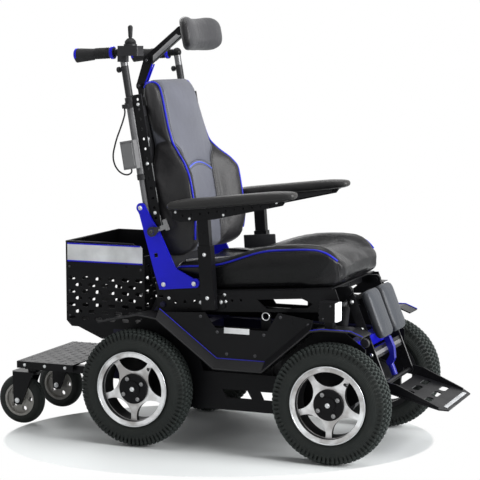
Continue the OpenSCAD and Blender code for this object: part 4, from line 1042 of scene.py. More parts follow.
@dataclass
class Studio:
    """Camera at the photograph's angle, soft light and a pale floor."""

    place: Point = (1805.9, -4677.6, 1188.4)
    yaw: float = 21.974
    pitch: float = 6.782
    lens: float = 122.81
    shift_y: float = 0.0142
    oval: Point = (-120, -80, 664, 481)
    lamps: Sequence[tuple[str, Point, float, float]] = (
        ("key", (3.6, -0.4, 1.7), 1.8, 205), ("fill", (0.2, -4.6, 2.6), 3.0, 26),
        ("rim", (-2.6, 2.6, 3.0), 2.2, 60), ("top", (0.3, -0.2, 4.2), 2.8, 88))
    aim: Point = (0, 0, 0.6)
    floor_r: float = 9.0
    floor_color: Point = (0.76, 0.785, 0.785)

    def build(self) -> None:
        """Makes the camera, the lights, the floor and the world."""
        scene = bpy.context.scene
        scene.view_settings.view_transform = "Standard"
        data = bpy.data.cameras.new("photo_camera")
        data.sensor_width = 36
        data.lens = self.lens
        data.shift_y = self.shift_y
        data.clip_end = 100
        camera = bpy.data.objects.new("photo_camera", data)
        camera.location = FRAMES.world @ Vector(self.place)
        camera.rotation_euler = (math.radians(90 - self.pitch), 0, math.radians(self.yaw))
        bpy.context.collection.objects.link(camera)
        scene.camera = camera
        for lamp in self.lamps:
            self._light(*lamp)
        self._world(scene)
        self._floor()

    def _light(self, name: str, place: Point, size: float, power: float) -> None:
        """Adds a soft area light that looks at the chair."""
        data = bpy.data.lights.new(name, "AREA")
        data.size = size
        data.energy = power
        lamp = bpy.data.objects.new(name, data)
        lamp.location = place
        lamp.rotation_euler = (Vector(self.aim) - Vector(place)).to_track_quat("-Z", "Y").to_euler()
        bpy.context.collection.objects.link(lamp)

    @staticmethod
    def _world(scene: bpy.types.Scene) -> None:
        """White to the camera and in reflections, softer as light."""
        world = bpy.data.worlds.new("studio_world")
        world.use_nodes = True
        tree = world.node_tree
        tree.nodes.clear()
        path = tree.nodes.new("ShaderNodeLightPath")
        seen, also = tree.nodes.new("ShaderNodeMath"), tree.nodes.new("ShaderNodeMath")
        seen.operation = also.operation = "MAXIMUM"
        strength = tree.nodes.new("ShaderNodeMapRange")
        strength.inputs[3].default_value = 0.17
        strength.inputs[4].default_value = 1.0
        shader, output = tree.nodes.new("ShaderNodeBackground"), tree.nodes.new("ShaderNodeOutputWorld")
        tree.links.new(path.outputs["Is Camera Ray"], seen.inputs[0])
        tree.links.new(path.outputs["Is Transmission Ray"], seen.inputs[1])
        tree.links.new(seen.outputs[0], also.inputs[0])
        tree.links.new(path.outputs["Is Glossy Ray"], also.inputs[1])
        tree.links.new(also.outputs[0], strength.inputs[0])
        shader.inputs["Color"].default_value = (1, 1, 1, 1)
        tree.links.new(strength.outputs[0], shader.inputs["Strength"])
        tree.links.new(shader.outputs[0], output.inputs[0])
        scene.world = world

    def _floor(self) -> None:
        """A pale floor, white to the camera outside an oval."""
        bm = bmesh.new()
        bmesh.ops.create_circle(bm, cap_ends=True, segments=96, radius=self.floor_r)
        mesh = bpy.data.meshes.new("floor")
        bm.to_mesh(mesh)
        bm.free()
        floor = bpy.data.objects.new("floor", mesh)
        bpy.context.collection.objects.link(floor)
        g = Graph("pale_floor")
        centre = FRAMES.world @ Vector((self.oval[0], self.oval[1], 0))
        yaw = math.radians(self.yaw)
        x, y = (g.node("ShaderNodeSeparateXYZ", None, {0: g.coords((1, 1, 0), centre)}, i) for i in (0, 1))
        across = (x * math.cos(yaw) + y * math.sin(yaw)) * (1 / (self.oval[2] * MM))
        deep = (y * math.cos(yaw) - x * math.sin(yaw)) * (1 / (self.oval[3] * MM))
        oval = (across * across + deep * deep).fit(0.985, 1.015)
        material = g.finish(Base_Color=self.floor_color, Roughness=0.6)
        seen = g.node("ShaderNodeLightPath", out="Is Camera Ray")
        tree = g.tree
        glow = tree.nodes.new("ShaderNodeEmission")
        blend = tree.nodes.new("ShaderNodeMixShader")
        output = next(n for n in tree.nodes if n.type == "OUTPUT_MATERIAL")
        tree.links.new((oval * seen).socket, blend.inputs[0])
        tree.links.new(g.shader.outputs[0], blend.inputs[1])
        tree.links.new(glow.outputs[0], blend.inputs[2])
        tree.links.new(blend.outputs[0], output.inputs[0])
        mesh.materials.append(material)


@dataclass
class ControlCable:
    """The free loop of cable from the post clamp to the control box."""

    shop: Workshop
    diameter: float = 5.0
    side_y: float = -228.0
    route: Sequence[Point] = ((-26, 379), (-27, 366), (-36, 346), (-50, 322), (-66, 296), (-79, 270),
                              (-88, 246), (-89, 224), (-82, 203), (-70, 189), (-56, 182), (-44, 182),
                              (-36, 187), (-34, 196))

    def build(self) -> None:
        points = [FRAMES.back @ Vector((x, self.side_y, z)) for x, z in self.route]
        curve = bpy.data.curves.new("control_cable_run", "CURVE")
        curve.dimensions = "3D"
        curve.bevel_depth = self.diameter / 2 * MM
        curve.bevel_resolution = 4
        curve.resolution_u = 6
        curve.use_fill_caps = True
        spline = curve.splines.new("BEZIER")
        spline.bezier_points.add(len(points) - 1)
        for knot, p in zip(spline.bezier_points, points):
            knot.co = p
            knot.handle_left_type = knot.handle_right_type = "AUTO"
        cable = bpy.data.objects.new("control_cable_run", curve)
        bpy.context.collection.objects.link(cable)
        curve.materials.append(self.shop.paints.rubber)
        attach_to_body(cable, "back")
        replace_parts(cable, "control_cable")
        length = sum((b - a).length for a, b in zip(points, points[1:]))


@dataclass
class DriveWheels:
    """Tyres, rims and hubs of the four drive wheels."""

    shop: Workshop
    rim_face: float = 22.0
    lip_r: float = 113.275
    lip_z: float = 38.4
    section_r: float = 135.0
    carcass_r: float = 38.0
    wall_rings: Sequence[float] = (66, 102)
    wall_ring_spread: float = 3.5
    wall_ring_height: float = 0.9
    bead: Sequence[Point] = ((109, 28), (105.5, 22), (105.5, -22), (109, -28))
    knob_count: int = 76
    bolt_circle: float = 34.5
    hub_rise: float = 11.0
    valve: Sequence[Point] = ((4.2, -8), (4.2, -2), (2.6, -1), (2.6, 8), (3.2, 8.5), (3.2, 15), (2.2, 16))
    valve_r: float = 80.0
    valve_z: float = 26.0

    def dress(self) -> None:
        """Finishes each wheel and adds its lip, bolts and valve."""
        paints = self.shop.paints
        for which in Wheel:
            stem = which.name.lower()
            axes = FRAMES.wheel(which)
            centre = axes.translation
            side = which.value[1]
            rubber = TyreRubber(f"{stem}_rubber", centre, FRAMES.tyre_r * MM).make()
            self.shop.coat(rubber, f"{stem}_tyre")
            self._tyre(stem, axes, f"wheel_{stem}", rubber)
            self.shop.coat(TurnedAlloy(f"{stem}_alloy", centre, side).make(), f"{stem}_rim")
            self.shop.coat(paints.plate, f"{stem}_hub")
            body = f"wheel_{stem}"
            self._lip(stem, axes, body)
            self._fasteners(stem, axes, body)

    def _tyre(self, stem: str, axes: Matrix, body: str, rubber: bpy.types.Material) -> None:
        """A carcass with moulded rings on its walls, and rows of knobs round it."""
        profile = []
        for degrees in range(-122, 123, 4):
            gaps = [(abs(degrees) - at) / self.wall_ring_spread for at in self.wall_rings]
            ring = sum(math.exp(-gap ** 2) for gap in gaps)
            reach = self.carcass_r + self.wall_ring_height * ring
            phi = math.radians(degrees)
            profile.append((self.section_r + reach * math.cos(phi), reach * math.sin(phi)))
        carcass = Shape(axes).lathe([*profile, *self.bead], Matrix.Identity(4), 96, ring=True)
        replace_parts(carcass.make(f"{stem}_carcass", rubber, body), f"{stem}_tyre")
        for kind in Knob:
            across, turn, *_, foot = kind.value
            points = []
            for way in (-1, 1):
                for i in range(self.knob_count):
                    t = math.tau * (i + turn + (0.25 * way)) / self.knob_count
                    out = Vector((math.cos(t), math.sin(t), 0))
                    points.append((axes @ (out * foot + Vector((0, 0, way * across))),
                                   (axes.to_3x3() @ out).normalized()))
            head = self.shop.heads.knobs[kind]
            self.shop.sewing.heads(f"{stem}_knobs_{kind.name.lower()}", head, points, rubber, body)

    def _lip(self, stem: str, axes: Matrix, body: str) -> None:
        """A rolled lip around the rim's outer flange."""
        loop = [axes @ Vector((x, y, self.lip_z)) for x, y in circle(self.lip_r, 96)]
        self.shop.sewing.welt(f"{stem}_rim_lip", [loop], 2.2, self.shop.paints.bright, body, closed=True)

    def _fasteners(self, stem: str, axes: Matrix, body: str) -> None:
        """Hub bolts, centre bolt and tyre valve."""
        shop, paints, out = self.shop, self.shop.paints, (0, 0, 1)
        top = self.rim_face + self.hub_rise
        spots = [(x, y, top) for x, y in circle(self.bolt_circle, 4, math.radians(30))]
        shop.bolts(f"{stem}_hub_bolts", axes, spots, out, body, 1.0, paints.tube)
        shop.bolts(f"{stem}_centre_bolt", axes, [(0, 0, top + 2)], out, body, 1.15, paints.zinc)
        x, y = circle(self.valve_r, 1, 0.9)[0]
        place = Matrix.Translation((x, y, self.valve_z)) @ Matrix.Rotation(0.5, 4, "Y")
        Shape(axes).lathe(self.valve, place, 14).make(f"{stem}_valve", paints.rubber, body)


@dataclass
class Chassis:
    """Side plates, blue tube frame, fairings, lamps and tie-down eyes."""

    shop: Workshop
    panel_face: float = 258.0
    ledge_out: float = 286.0
    ledge: Sequence[Point] = ((-432, 372), (-300, 402), (-238, 394), (-52, 256), (100, 256), (250, 386),
                              (285, 392), (372, 392), (408, 378))
    bevel: float = 26.0
    blue_from: float = 300.0
    eye: Point = (85, 208.6, 411)
    eye_r: float = 11.5
    screws: Sequence[Point] = ((-222, 404), (-104, 408), (-50, 364), (98, 364), (150, 420), (236, 402),
                               (-20, 300), (70, 300))
    lamp_face: float = 262.0
    lamp_bolts: Sequence[Point] = ((282, 424), (304, 462))
    body: str = "chassis"

    def dress(self) -> None:
        """Paints the chassis and adds its plate, trim and fasteners."""
        paints, shop = self.shop.paints, self.shop
        shop.coat(paints.plate, "chassis_side_plates")
        change = (FRAMES.world @ Vector((self.blue_from, 0, 0))).x
        tubes = TwoTone("frame_coat", (0.006, 0.006, 0.03), (0.012, 0.012, 0.6), 0, change)
        shop.coat(tubes.make(), "chassis_frame")
        shop.coat(paints.plastic, "power_pack")
        shop.coat(paints.dark_steel, "gear_motors")
        shop.coat(paints.black, "side_fairing_right", "side_fairing_left", "headlight_housings")
        shop.coat(paints.lamp, "headlight_lenses")
        shop.coat(paints.plate, "tie_down_eyes")
        self._plate(Side.RIGHT)
        for side in Side:
            self._trim(side)
            self._bolts(side)

    def _plate(self, side: Side) -> None:
        """Small bare plate on the fairing panel."""
        name, s = side.name.lower(), side.value
        low, high = (-28, s * self.panel_face, 362), (52, s * (self.panel_face + 1.4), 379)
        plate = Shape(FRAMES.world).box(low, high)
        plate.make(f"badge_plate_{name}", self.shop.paints.pale, self.body, 0.4)

    def _trim(self, side: Side) -> None:
        """Blue line along the fairing panel, ring of the tie-down eye, and rubber lip on the ledge."""
        name, s = side.name.lower(), side.value
        sewing, paints, world = self.shop.sewing, self.shop.paints, FRAMES.world
        out = s * (self.panel_face + 0.4)
        crease = [world @ Vector((x, out, z + self.bevel + 3)) for x, z in self.ledge[2:5]]
        front = [world @ Vector((x, s * (self.ledge_out - 4), z + 4.6)) for x, z in self.ledge[5:]]
        sewing.welt(f"fairing_line_{name}", [crease, front], 1.5, paints.welt, self.body)
        eye_x, eye_y, eye_z = self.eye
        ring = [world @ Vector((eye_x + x, s * eye_y, eye_z + z)) for x, z in circle(self.eye_r, 32)]
        sewing.welt(f"tie_down_ring_{name}", [ring], 2.0, paints.zinc, self.body, closed=True)
        edge = [world @ Vector((x, s * (self.ledge_out - 0.2), z + 2)) for x, z in self.ledge]
        sewing.welt(f"fairing_lip_{name}", [edge], 2.6, paints.rubber, self.body)

    def _bolts(self, side: Side) -> None:
        """Screws of the fairing panel and bolts of the lamp bracket."""
        name, s = side.name.lower(), side.value
        steel = self.shop.paints.dark_steel
        panel = [(x, s * self.panel_face, z) for x, z in self.screws]
        self.shop.bolts(f"fairing_bolts_{name}", FRAMES.world, panel, (0, s, 0), self.body, 0.8, steel)
        lamp = [(x, s * self.lamp_face, z) for x, z in self.lamp_bolts]
        self.shop.bolts(f"lamp_bolts_{name}", FRAMES.world, lamp, (0, s, 0), self.body, 0.5, steel)


@dataclass
class Basket:
    """Slotted basket behind the seat, with a plain plate on its right side."""

    shop: Workshop
    x0: float = -592.0
    x1: float = -322.0
    half_w: float = 185.0
    z1: float = 604.0
    cut: float = 40.0
    rim_inset: float = 1.5
    bolt_inset: float = 12.0
    bolt_rows: Sequence[float] = (372, 450, 526)
    body: str = "chassis"

    def dress(self) -> None:
        """Paints the basket, rolls its rim and adds its plate and bolts."""
        self.shop.coat(self.shop.paints.black, "basket_panels", "basket_floor")
        inset = self.rim_inset
        half = self.half_w - inset
        edge = ((self.x0 + inset, self.z1), (self.x1 - self.cut, self.z1),
                (self.x1 - inset, self.z1 - self.cut + inset))
        rim = [FRAMES.world @ Vector((x, -half, z)) for x, z in edge]
        rim += [FRAMES.world @ Vector((x, half, z)) for x, z in reversed(edge)]
        self.shop.sewing.welt("basket_rim", [rim], 3.0, self.shop.paints.black, self.body, closed=True)
        self._plate(Side.RIGHT)
        columns = (self.x0 + self.bolt_inset, self.x1 - self.bolt_inset)
        for side in Side:
            name, s = side.name.lower(), side.value
            spots = [(x, s * self.half_w, z) for x in columns for z in self.bolt_rows]
            self.shop.bolts(f"basket_bolts_{name}", FRAMES.world, spots, (0, s, 0), self.body, 0.6,
                            self.shop.paints.dark_steel)

    def _plate(self, side: Side) -> None:
        """A bare pale plate between two blue lines."""
        name, s = side.name.lower(), side.value
        low, high = self.z1 - 62, self.z1 - 4
        start, end, corner = self.x0 + 6, self.x1 - 6, 7
        outline = ((start, low), (end, low), (end, high - corner), (end - corner, high), (start, high))
        face = Shape(FRAMES.world).plate(outline, s * self.half_w, s * (self.half_w + 1.2))
        face.make(f"basket_plate_{name}", self.shop.paints.pale, self.body, 0.4)
        lines = Shape(FRAMES.world)
        for z, reach in ((low, end), (high - 4, end - corner)):
            lines.box((start, s * (self.half_w + 1.0), z), (reach, s * (self.half_w + 1.8), z + 4))
        lines.make(f"basket_plate_lines_{name}", self.shop.paints.blue, self.body)


@dataclass
class Platform:
    """Attendant platform with its tread plate and casters."""

    shop: Workshop
    x0: float = -770.0
    x1: float = -570.0
    half_w: float = 190.0
    top: float = 214.0
    caster_x: float = -785.0
    caster_y: float = 131.0
    caster_r: float = 80.0

    def dress(self) -> None:
        """Paints the platform and casters and adds the tread and bolts."""
        shop, paints = self.shop, self.shop.paints
        shop.coat(paints.black, "platform_deck", "platform_frame", "caster_fork_right", "caster_fork_left")
        for k, turn in enumerate((45, -45)):
            self._tread(k, turn)
        for side in Side:
            name, s = side.name.lower(), side.value
            skirt = [(x, s * self.half_w, 203) for x in (-742, -670, -598)]
            shop.bolts(f"deck_bolts_{name}", FRAMES.world, skirt, (0, s, 0), "platform", 0.8)
            centre = FRAMES.world @ Vector((self.caster_x, s * self.caster_y, self.caster_r))
            rubber = TyreRubber(f"caster_rubber_{name}", centre, self.caster_r * MM).make()
            shop.coat(rubber, f"caster_tyre_{name}")
            shop.coat(paints.caster, f"caster_rim_{name}")
            for way in (-1, 1):
                nut = [(self.caster_x, s * self.caster_y + way * 34, self.caster_r)]
                where = "outer" if way == s else "inner"
                shop.bolts(f"caster_nut_{where}_{name}", FRAMES.world, nut, (0, way, 0), f"fork_{name}", 1.3)

    def _tread(self, k: int, turn: float) -> None:
        """Half of the raised lozenges, all turned one way."""
        spots = []
        for i in range(8):
            for j in range(15):
                if (i + j) % 2 == k:
                    spots.append((self.x0 + 13 + i * 25, -self.half_w + 15 + j * 25.7, self.top))
        points = [(FRAMES.world @ Vector(p), Vector((0, 0, 1))) for p in spots]
        head = self.shop.heads.bar_right if turn > 0 else self.shop.heads.bar_left
        self.shop.sewing.heads(f"deck_tread_{k + 1}", head, points, self.shop.paints.tread, "platform")


@dataclass
class SeatFrame:
    """Seat side plates, pan, recline brackets and tilt actuator."""

    shop: Workshop
    bracket_face: float = 224.0
    plate_face: float = 213.0
    lever_grip_x: float = 14.0
    body: str = "seat"

    def dress(self) -> None:
        """Paints the seat frame and adds its rear panel, guard and fasteners."""
        shop, paints = self.shop, self.shop.paints
        shop.coat(paints.black, "seat_side_plates", "seat_pan")
        shop.coat(paints.blue, "recline_brackets")
        shop.coat(paints.tube, "tilt_rod")
        grip = (FRAMES.seat @ Vector((self.lever_grip_x, 0, 230))).x
        lever = TwoTone("lever_steel", (0.03, 0.03, 0.032), (0.3, 0.3, 0.305), 0, grip)
        shop.coat(lever.make(), "recline_lever")
        self._rear_panel()
        self._guard()
        shop.coat(paints.plastic, "tilt_cylinder")
        for side in Side:
            name, s = side.name.lower(), side.value
            spots = [(x, s * self.bracket_face, z) for x, z in ((-49, 295), (10, 61), (110, 61))]
            shop.bolts(f"bracket_bolts_{name}", FRAMES.seat, spots, (0, s, 0), self.body, 1.1)
            spots = [(x, s * 219, 4) for x in (127, 193)]
            spots += [(160, s * 245, z) for z in (20, 150)]
            shop.bolts(f"receiver_bolts_{name}", FRAMES.seat, spots, (0, s, 0), self.body, 0.9)
            spots = [(x, s * self.plate_face, z) for x, z in ((20, 18), (203, 25), (205, 5), (530, -18))]
            shop.bolts(f"side_plate_bolts_{name}", FRAMES.seat, spots, (0, s, 0), self.body, 0.8)
            x, _, z = FRAMES.recline_pivot
            spots = [(x, s * (self.bracket_face + 9), z)]
            shop.bolts(f"recline_pivot_bolt_{name}", FRAMES.seat, spots, (0, s, 0), self.body, 1.2,
                       paints.dark_steel)

    def _rear_panel(self) -> None:
        """Moulded panel that closes the gap behind the seat cushion, fixed to the edge of the pan."""
        line = [(9, 0, SoftForms.pan_top + 0.4), (4, 0, SoftForms.pan_top + 1), (-4, 0, 46)]
        line += [(-9 + 5 * math.sin(i / 8 * math.pi), 0, 52 + i * 10.5) for i in range(9)]
        panel = Shape(FRAMES.seat).ribbon(line, (0, 186, 0), 2.0)
        panel.make("seat_rear_panel", self.shop.paints.plastic, self.body)

    def _guard(self) -> None:
        """Moulded guard between the left arm post and the cushion."""
        guard = Shape(FRAMES.seat).box((104, 208.5, 96), (213, 216.5, 164))
        guard.make("side_guard", self.shop.paints.plastic, self.body, 3.0)


class SoftForms:
    """The cushions' own shapes, as the CAD source draws them, in millimetres."""

    pan_top = 38.0
    seat_ends = (28.0, 572.0)
    back_ends = (-92.0, 456.0)

    @staticmethod
    def round_in(d: float, r: float) -> float:
        """0 at an end of a soft form, 1 from distance r on."""
        return 1.0 if d >= r else math.sqrt(max(0.0, 1 - (1 - d / r) ** 2))

    @classmethod
    def seat_point(cls, u: float, x: float) -> Vector:
        """A point on top of the seat cushion.

        Args:
            u: Place across, from -1 to 1.
            x: Place along the seat.

        Returns:
            The point in seat axes.
        """
        a = abs(u)
        edge = cls.pan_top + 78 + 40 * ease(x, 150, 360) - 28 * ease(x, 480, 582)
        hollow = cls.pan_top + 66 + 22 * ease(x, 300, 520) - 10 * ease(x, 500, 582)
        top = hollow + (edge + 6 - hollow) * ease(a, 0.42, 0.86) - 12 * ease(a, 0.86, 1) + 5 * (1 - a * a)
        r = min(cls.round_in(x - cls.seat_ends[0], 26), cls.round_in(cls.seat_ends[1] - x, 56))
        low = cls.pan_top + (1 - r) * 30
        half = 203 - 10 * (1 - r) - 42 * (1 - cls.round_in(cls.seat_ends[1] - x, 105))
        return Vector((x, half * u, low + (top - low) * (0.35 + 0.65 * r)))

    @classmethod
    def back_point(cls, u: float, z: float) -> Vector:
        """A point on the front of the back cushion.

        Args:
            u: Place across, from -1 to 1.
            z: Place up the back.

        Returns:
            The point in back axes.
        """
        a = abs(u)
        mid = 84 - 6 * ease(z, 120, 262) - 18 * cls.back_rise(z) - 10 * ease(-z, 0, 90)
        edge = 142 - 66 * ease(z, 150, 265) - 16 * cls.back_rise(z) - 26 * ease(-z, -10, 90)
        front = mid + (edge - mid) * ease(a, 0.5, 0.93) - 8 * ease(a, 0.93, 1) + 5 * (1 - a * a)
        r = min(cls.round_in(z - cls.back_ends[0], 34), cls.round_in(cls.back_ends[1] - z, 40))
        push = 4 + (1 - r) * 26
        half = cls.back_half(z) - 16 * (1 - r)
        return Vector((push + (front - push) * (0.3 + 0.7 * r), half * u, z))

    @classmethod
    def back_half(cls, z: float) -> float:
        """Half the width of the back cushion's front at a height."""
        return 203 - 58 * ease(z, 150, 262) - 27 * cls.back_rise(z) - 8 * ease(-z, 0, 90)

    @classmethod
    def back_rise(cls, z: float) -> float:
        """How far up the plain upper part of the back a height is, from 0 to 1."""
        return min(1.0, max(0.0, (z - 262) / (cls.back_ends[1] - 262)))


@dataclass
class Cushion:
    """One padded piece, filled by a cloth simulation of its CAD solid."""

    shop: Workshop
    node: str
    body: str
    cell: float = 6.0
    cap: float = 14.0
    pressure: float = 4.0
    fill: float = 0.65
    seams: list[Path] = field(default_factory=list)
    tucks: list[Path] = field(default_factory=list)
    seam_depth: float = 4.0
    seam_width: float = 9.0
    creases: float = 0.25
    tight_steps: int = 40
    material: bpy.types.Material | None = None
    piece: bpy.types.Object | None = None

    def build(self) -> "Cushion":
        """Fills the pad, presses its seams in and lets it stand for the CAD solid.

        Returns:
            This cushion, with its piece made.
        """
        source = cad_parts[self.node]
        piece = bpy.data.objects.new(f"{self.node}_pad", source.data.copy())
        bpy.context.collection.objects.link(piece)
        piece.data.materials.clear()
        self._remesh(piece)
        self._inflate(piece)
        self._press(piece)
        self._refine(piece)
        piece.data.materials.clear()
        piece.data.materials.append(self.material or self.shop.paints.hide)
        piece.data.shade_smooth()
        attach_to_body(piece, self.body)
        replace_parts(piece, self.node)
        self.piece = piece
        LOG.info("%s: %d faces", piece.name, len(piece.data.polygons))
        return self

    @staticmethod
    def _apply(piece: bpy.types.Object) -> None:
        """Replaces the mesh with its evaluated form and drops the modifiers."""
        graph = bpy.context.evaluated_depsgraph_get()
        mesh = bpy.data.meshes.new_from_object(piece.evaluated_get(graph), depsgraph=graph)
        piece.modifiers.clear()
        piece.data = mesh

    def _remesh(self, piece: bpy.types.Object) -> None:
        """Even quads over the solid, a little smaller than it."""
        weld = piece.modifiers.new("weld", "WELD")
        weld.merge_threshold = 1e-5
        even = piece.modifiers.new("even", "REMESH")
        even.mode = "VOXEL"
        even.voxel_size = self.cell * MM
        ease_off = piece.modifiers.new("ease", "SMOOTH")
        ease_off.iterations = 4
        ease_off.factor = 0.5
        self._apply(piece)

    def _inflate(self, piece: bpy.types.Object) -> None:
        """Runs the cloth with inner pressure and caps how far it moves."""
        start = [v.co.copy() for v in piece.data.vertices]
        hold = piece.vertex_groups.new(name="hold")
        near = self._seam_tree()
        for v in piece.data.vertices:
            gap = near(v.co) / (self.seam_width * MM)
            hold.add([v.index], max(0.0, min(1.0, 1.4 - gap)), "REPLACE")
        cloth = piece.modifiers.new("filling", "CLOTH")
        cloth.settings.quality = 4
        cloth.settings.mass = 0.25
        cloth.settings.tension_stiffness = cloth.settings.compression_stiffness = 12
        cloth.settings.shear_stiffness = 6
        cloth.settings.bending_stiffness = 0.6
        cloth.settings.use_pressure = True
        cloth.settings.uniform_pressure_force = self.pressure
        cloth.settings.vertex_group_mass = "hold"
        cloth.settings.pin_stiffness = 1.0
        cloth.settings.effector_weights.gravity = 0.0
        cloth.point_cache.frame_start = 1
        cloth.point_cache.frame_end = 20
        scene = bpy.context.scene
        for step in range(1, 21):
            scene.frame_set(step)
        self._apply(piece)
        scene.frame_set(1)
        limit = self.cap * MM
        moves = np.array([v.co - was for v, was in zip(piece.data.vertices, start)])
        reach = np.linalg.norm(moves, axis=1, keepdims=True)
        moves *= np.minimum(1.0, limit / np.maximum(reach, 1e-9))
        for v, was, move in zip(piece.data.vertices, start, self._taut(piece.data, moves)):
            v.co = was + Vector(move)

    def _taut(self, mesh: bpy.types.Mesh, moves: np.ndarray) -> np.ndarray:
        """Draws the cover tight over firm foam: the broad swell stays, and a share of the creases.

        Args:
            mesh: The pad's mesh.
            moves: How far the cloth moved each vertex.

        Returns:
            The moves with shallower creases.
        """
        ends = np.empty(len(mesh.edges) * 2, dtype=np.int64)
        mesh.edges.foreach_get("vertices", ends)
        a, b = ends[0::2], ends[1::2]
        count = np.bincount(ends, minlength=len(moves))[:, None]
        broad = moves
        for _ in range(self.tight_steps):
            total = np.zeros_like(broad)
            np.add.at(total, a, broad[b])
            np.add.at(total, b, broad[a])
            broad = 0.5 * broad + 0.5 * total / np.maximum(count, 1)
        return broad + self.creases * (moves - broad)

    def _seam_tree(self) -> Callable[[Vector], float]:
        """A function that gives a point's distance from the nearest seam."""
        points = [p for seam in self.seams + self.tucks for p in Stitching.even(seam, 0.004)]
        tree = KDTree(max(1, len(points)))
        for i, p in enumerate(points):
            tree.insert(p, i)
        tree.balance()
        return lambda p: tree.find(p)[2] if points else 1.0

    def _press(self, piece: bpy.types.Object) -> None:
        """Presses a soft valley along every seam."""
        near = self._seam_tree()
        moves = []
        for v in piece.data.vertices:
            gap = near(v.co) / (self.seam_width * MM)
            moves.append(v.normal * (-self.seam_depth * MM * math.exp(-gap * gap)))
        for v, move in zip(piece.data.vertices, moves):
            v.co += move

    def _refine(self, piece: bpy.types.Object) -> None:
        """One level of subdivision."""
        finer = piece.modifiers.new("finer", "SUBSURF")
        finer.levels = finer.render_levels = 1
        self._apply(piece)

    def surface(self) -> BVHTree:
        """The finished skin, for laying piping and stitches on it."""
        mesh = self.piece.data
        return BVHTree.FromPolygons([v.co for v in mesh.vertices], [p.vertices for p in mesh.polygons])


class Stitching:
    """Lays piping and rows of stitches on finished skins."""

    stitch_aside = 0.0085
    stitch_lift = 0.0003

    def __init__(self, shop: Workshop) -> None:
        """Keeps the workshop."""
        self.shop = shop

    @staticmethod
    def even(path: Path, step: float) -> Path:
        """The same path with a point at every step."""
        out = [path[0].copy()]
        for a, b in zip(path, path[1:]):
            count = max(1, round((b - a).length / step))
            out += [a.lerp(b, i / count) for i in range(1, count + 1)]
        return out

    def on_skin(self, skin: BVHTree, path: Path, lift: float,
                step: float = 0.006) -> list[tuple[Vector, Vector]]:
        """Snaps a path to a skin.

        Args:
            skin: The finished surface.
            path: Points near it, in metres.
            lift: Height over the skin, in millimetres.
            step: Distance between the points.

        Returns:
            Points and the skin's normals there.
        """
        out = []
        for p in self.even(path, step):
            spot, normal, _, _ = skin.find_nearest(p)
            out.append((spot + normal * (lift * MM), normal))
        return out

    @staticmethod
    def relaxed(path: Path, rounds: int = 3) -> Path:
        """The path with its kinks evened out."""
        for _ in range(rounds):
            path = [path[0]] + [(a + b * 2 + c) / 4 for a, b, c in zip(path, path[1:], path[2:])] + [path[-1]]
        return path

    def piping(self, cushion: Cushion, name: str, seams: list[Path], material: bpy.types.Material,
               radius: float = 3.2) -> None:
        """A welt along seams of a cushion, with a row of stitches on each side.

        Args:
            cushion: The finished cushion.
            name: The piece's name.
            seams: Paths near the skin.
            material: The welt's finish.
            radius: Radius of the welt in millimetres.
        """
        skin = cushion.surface()
        paths, stitches = [], []
        for seam in seams:
            line = self.relaxed([p for p, _ in self.on_skin(skin, seam, radius * 0.45)])
            paths.append(line)
            for side in (-1, 1):
                row = []
                for i in range(1, len(line) - 1):
                    along = (line[i + 1] - line[i - 1]).normalized()
                    spot, normal, _, _ = skin.find_nearest(line[i])
                    aside = along.cross(normal).normalized() * (side * self.stitch_aside)
                    place, normal, _, _ = skin.find_nearest(spot + aside)
                    row.append((place + normal * self.stitch_lift, along))
                stitches += row
        self.shop.sewing.welt(name, paths, radius, material, cushion.body)
        self.shop.sewing.heads(name + "_stitches", self.shop.heads.stitch, stitches, self.shop.paints.thread,
                               cushion.body)


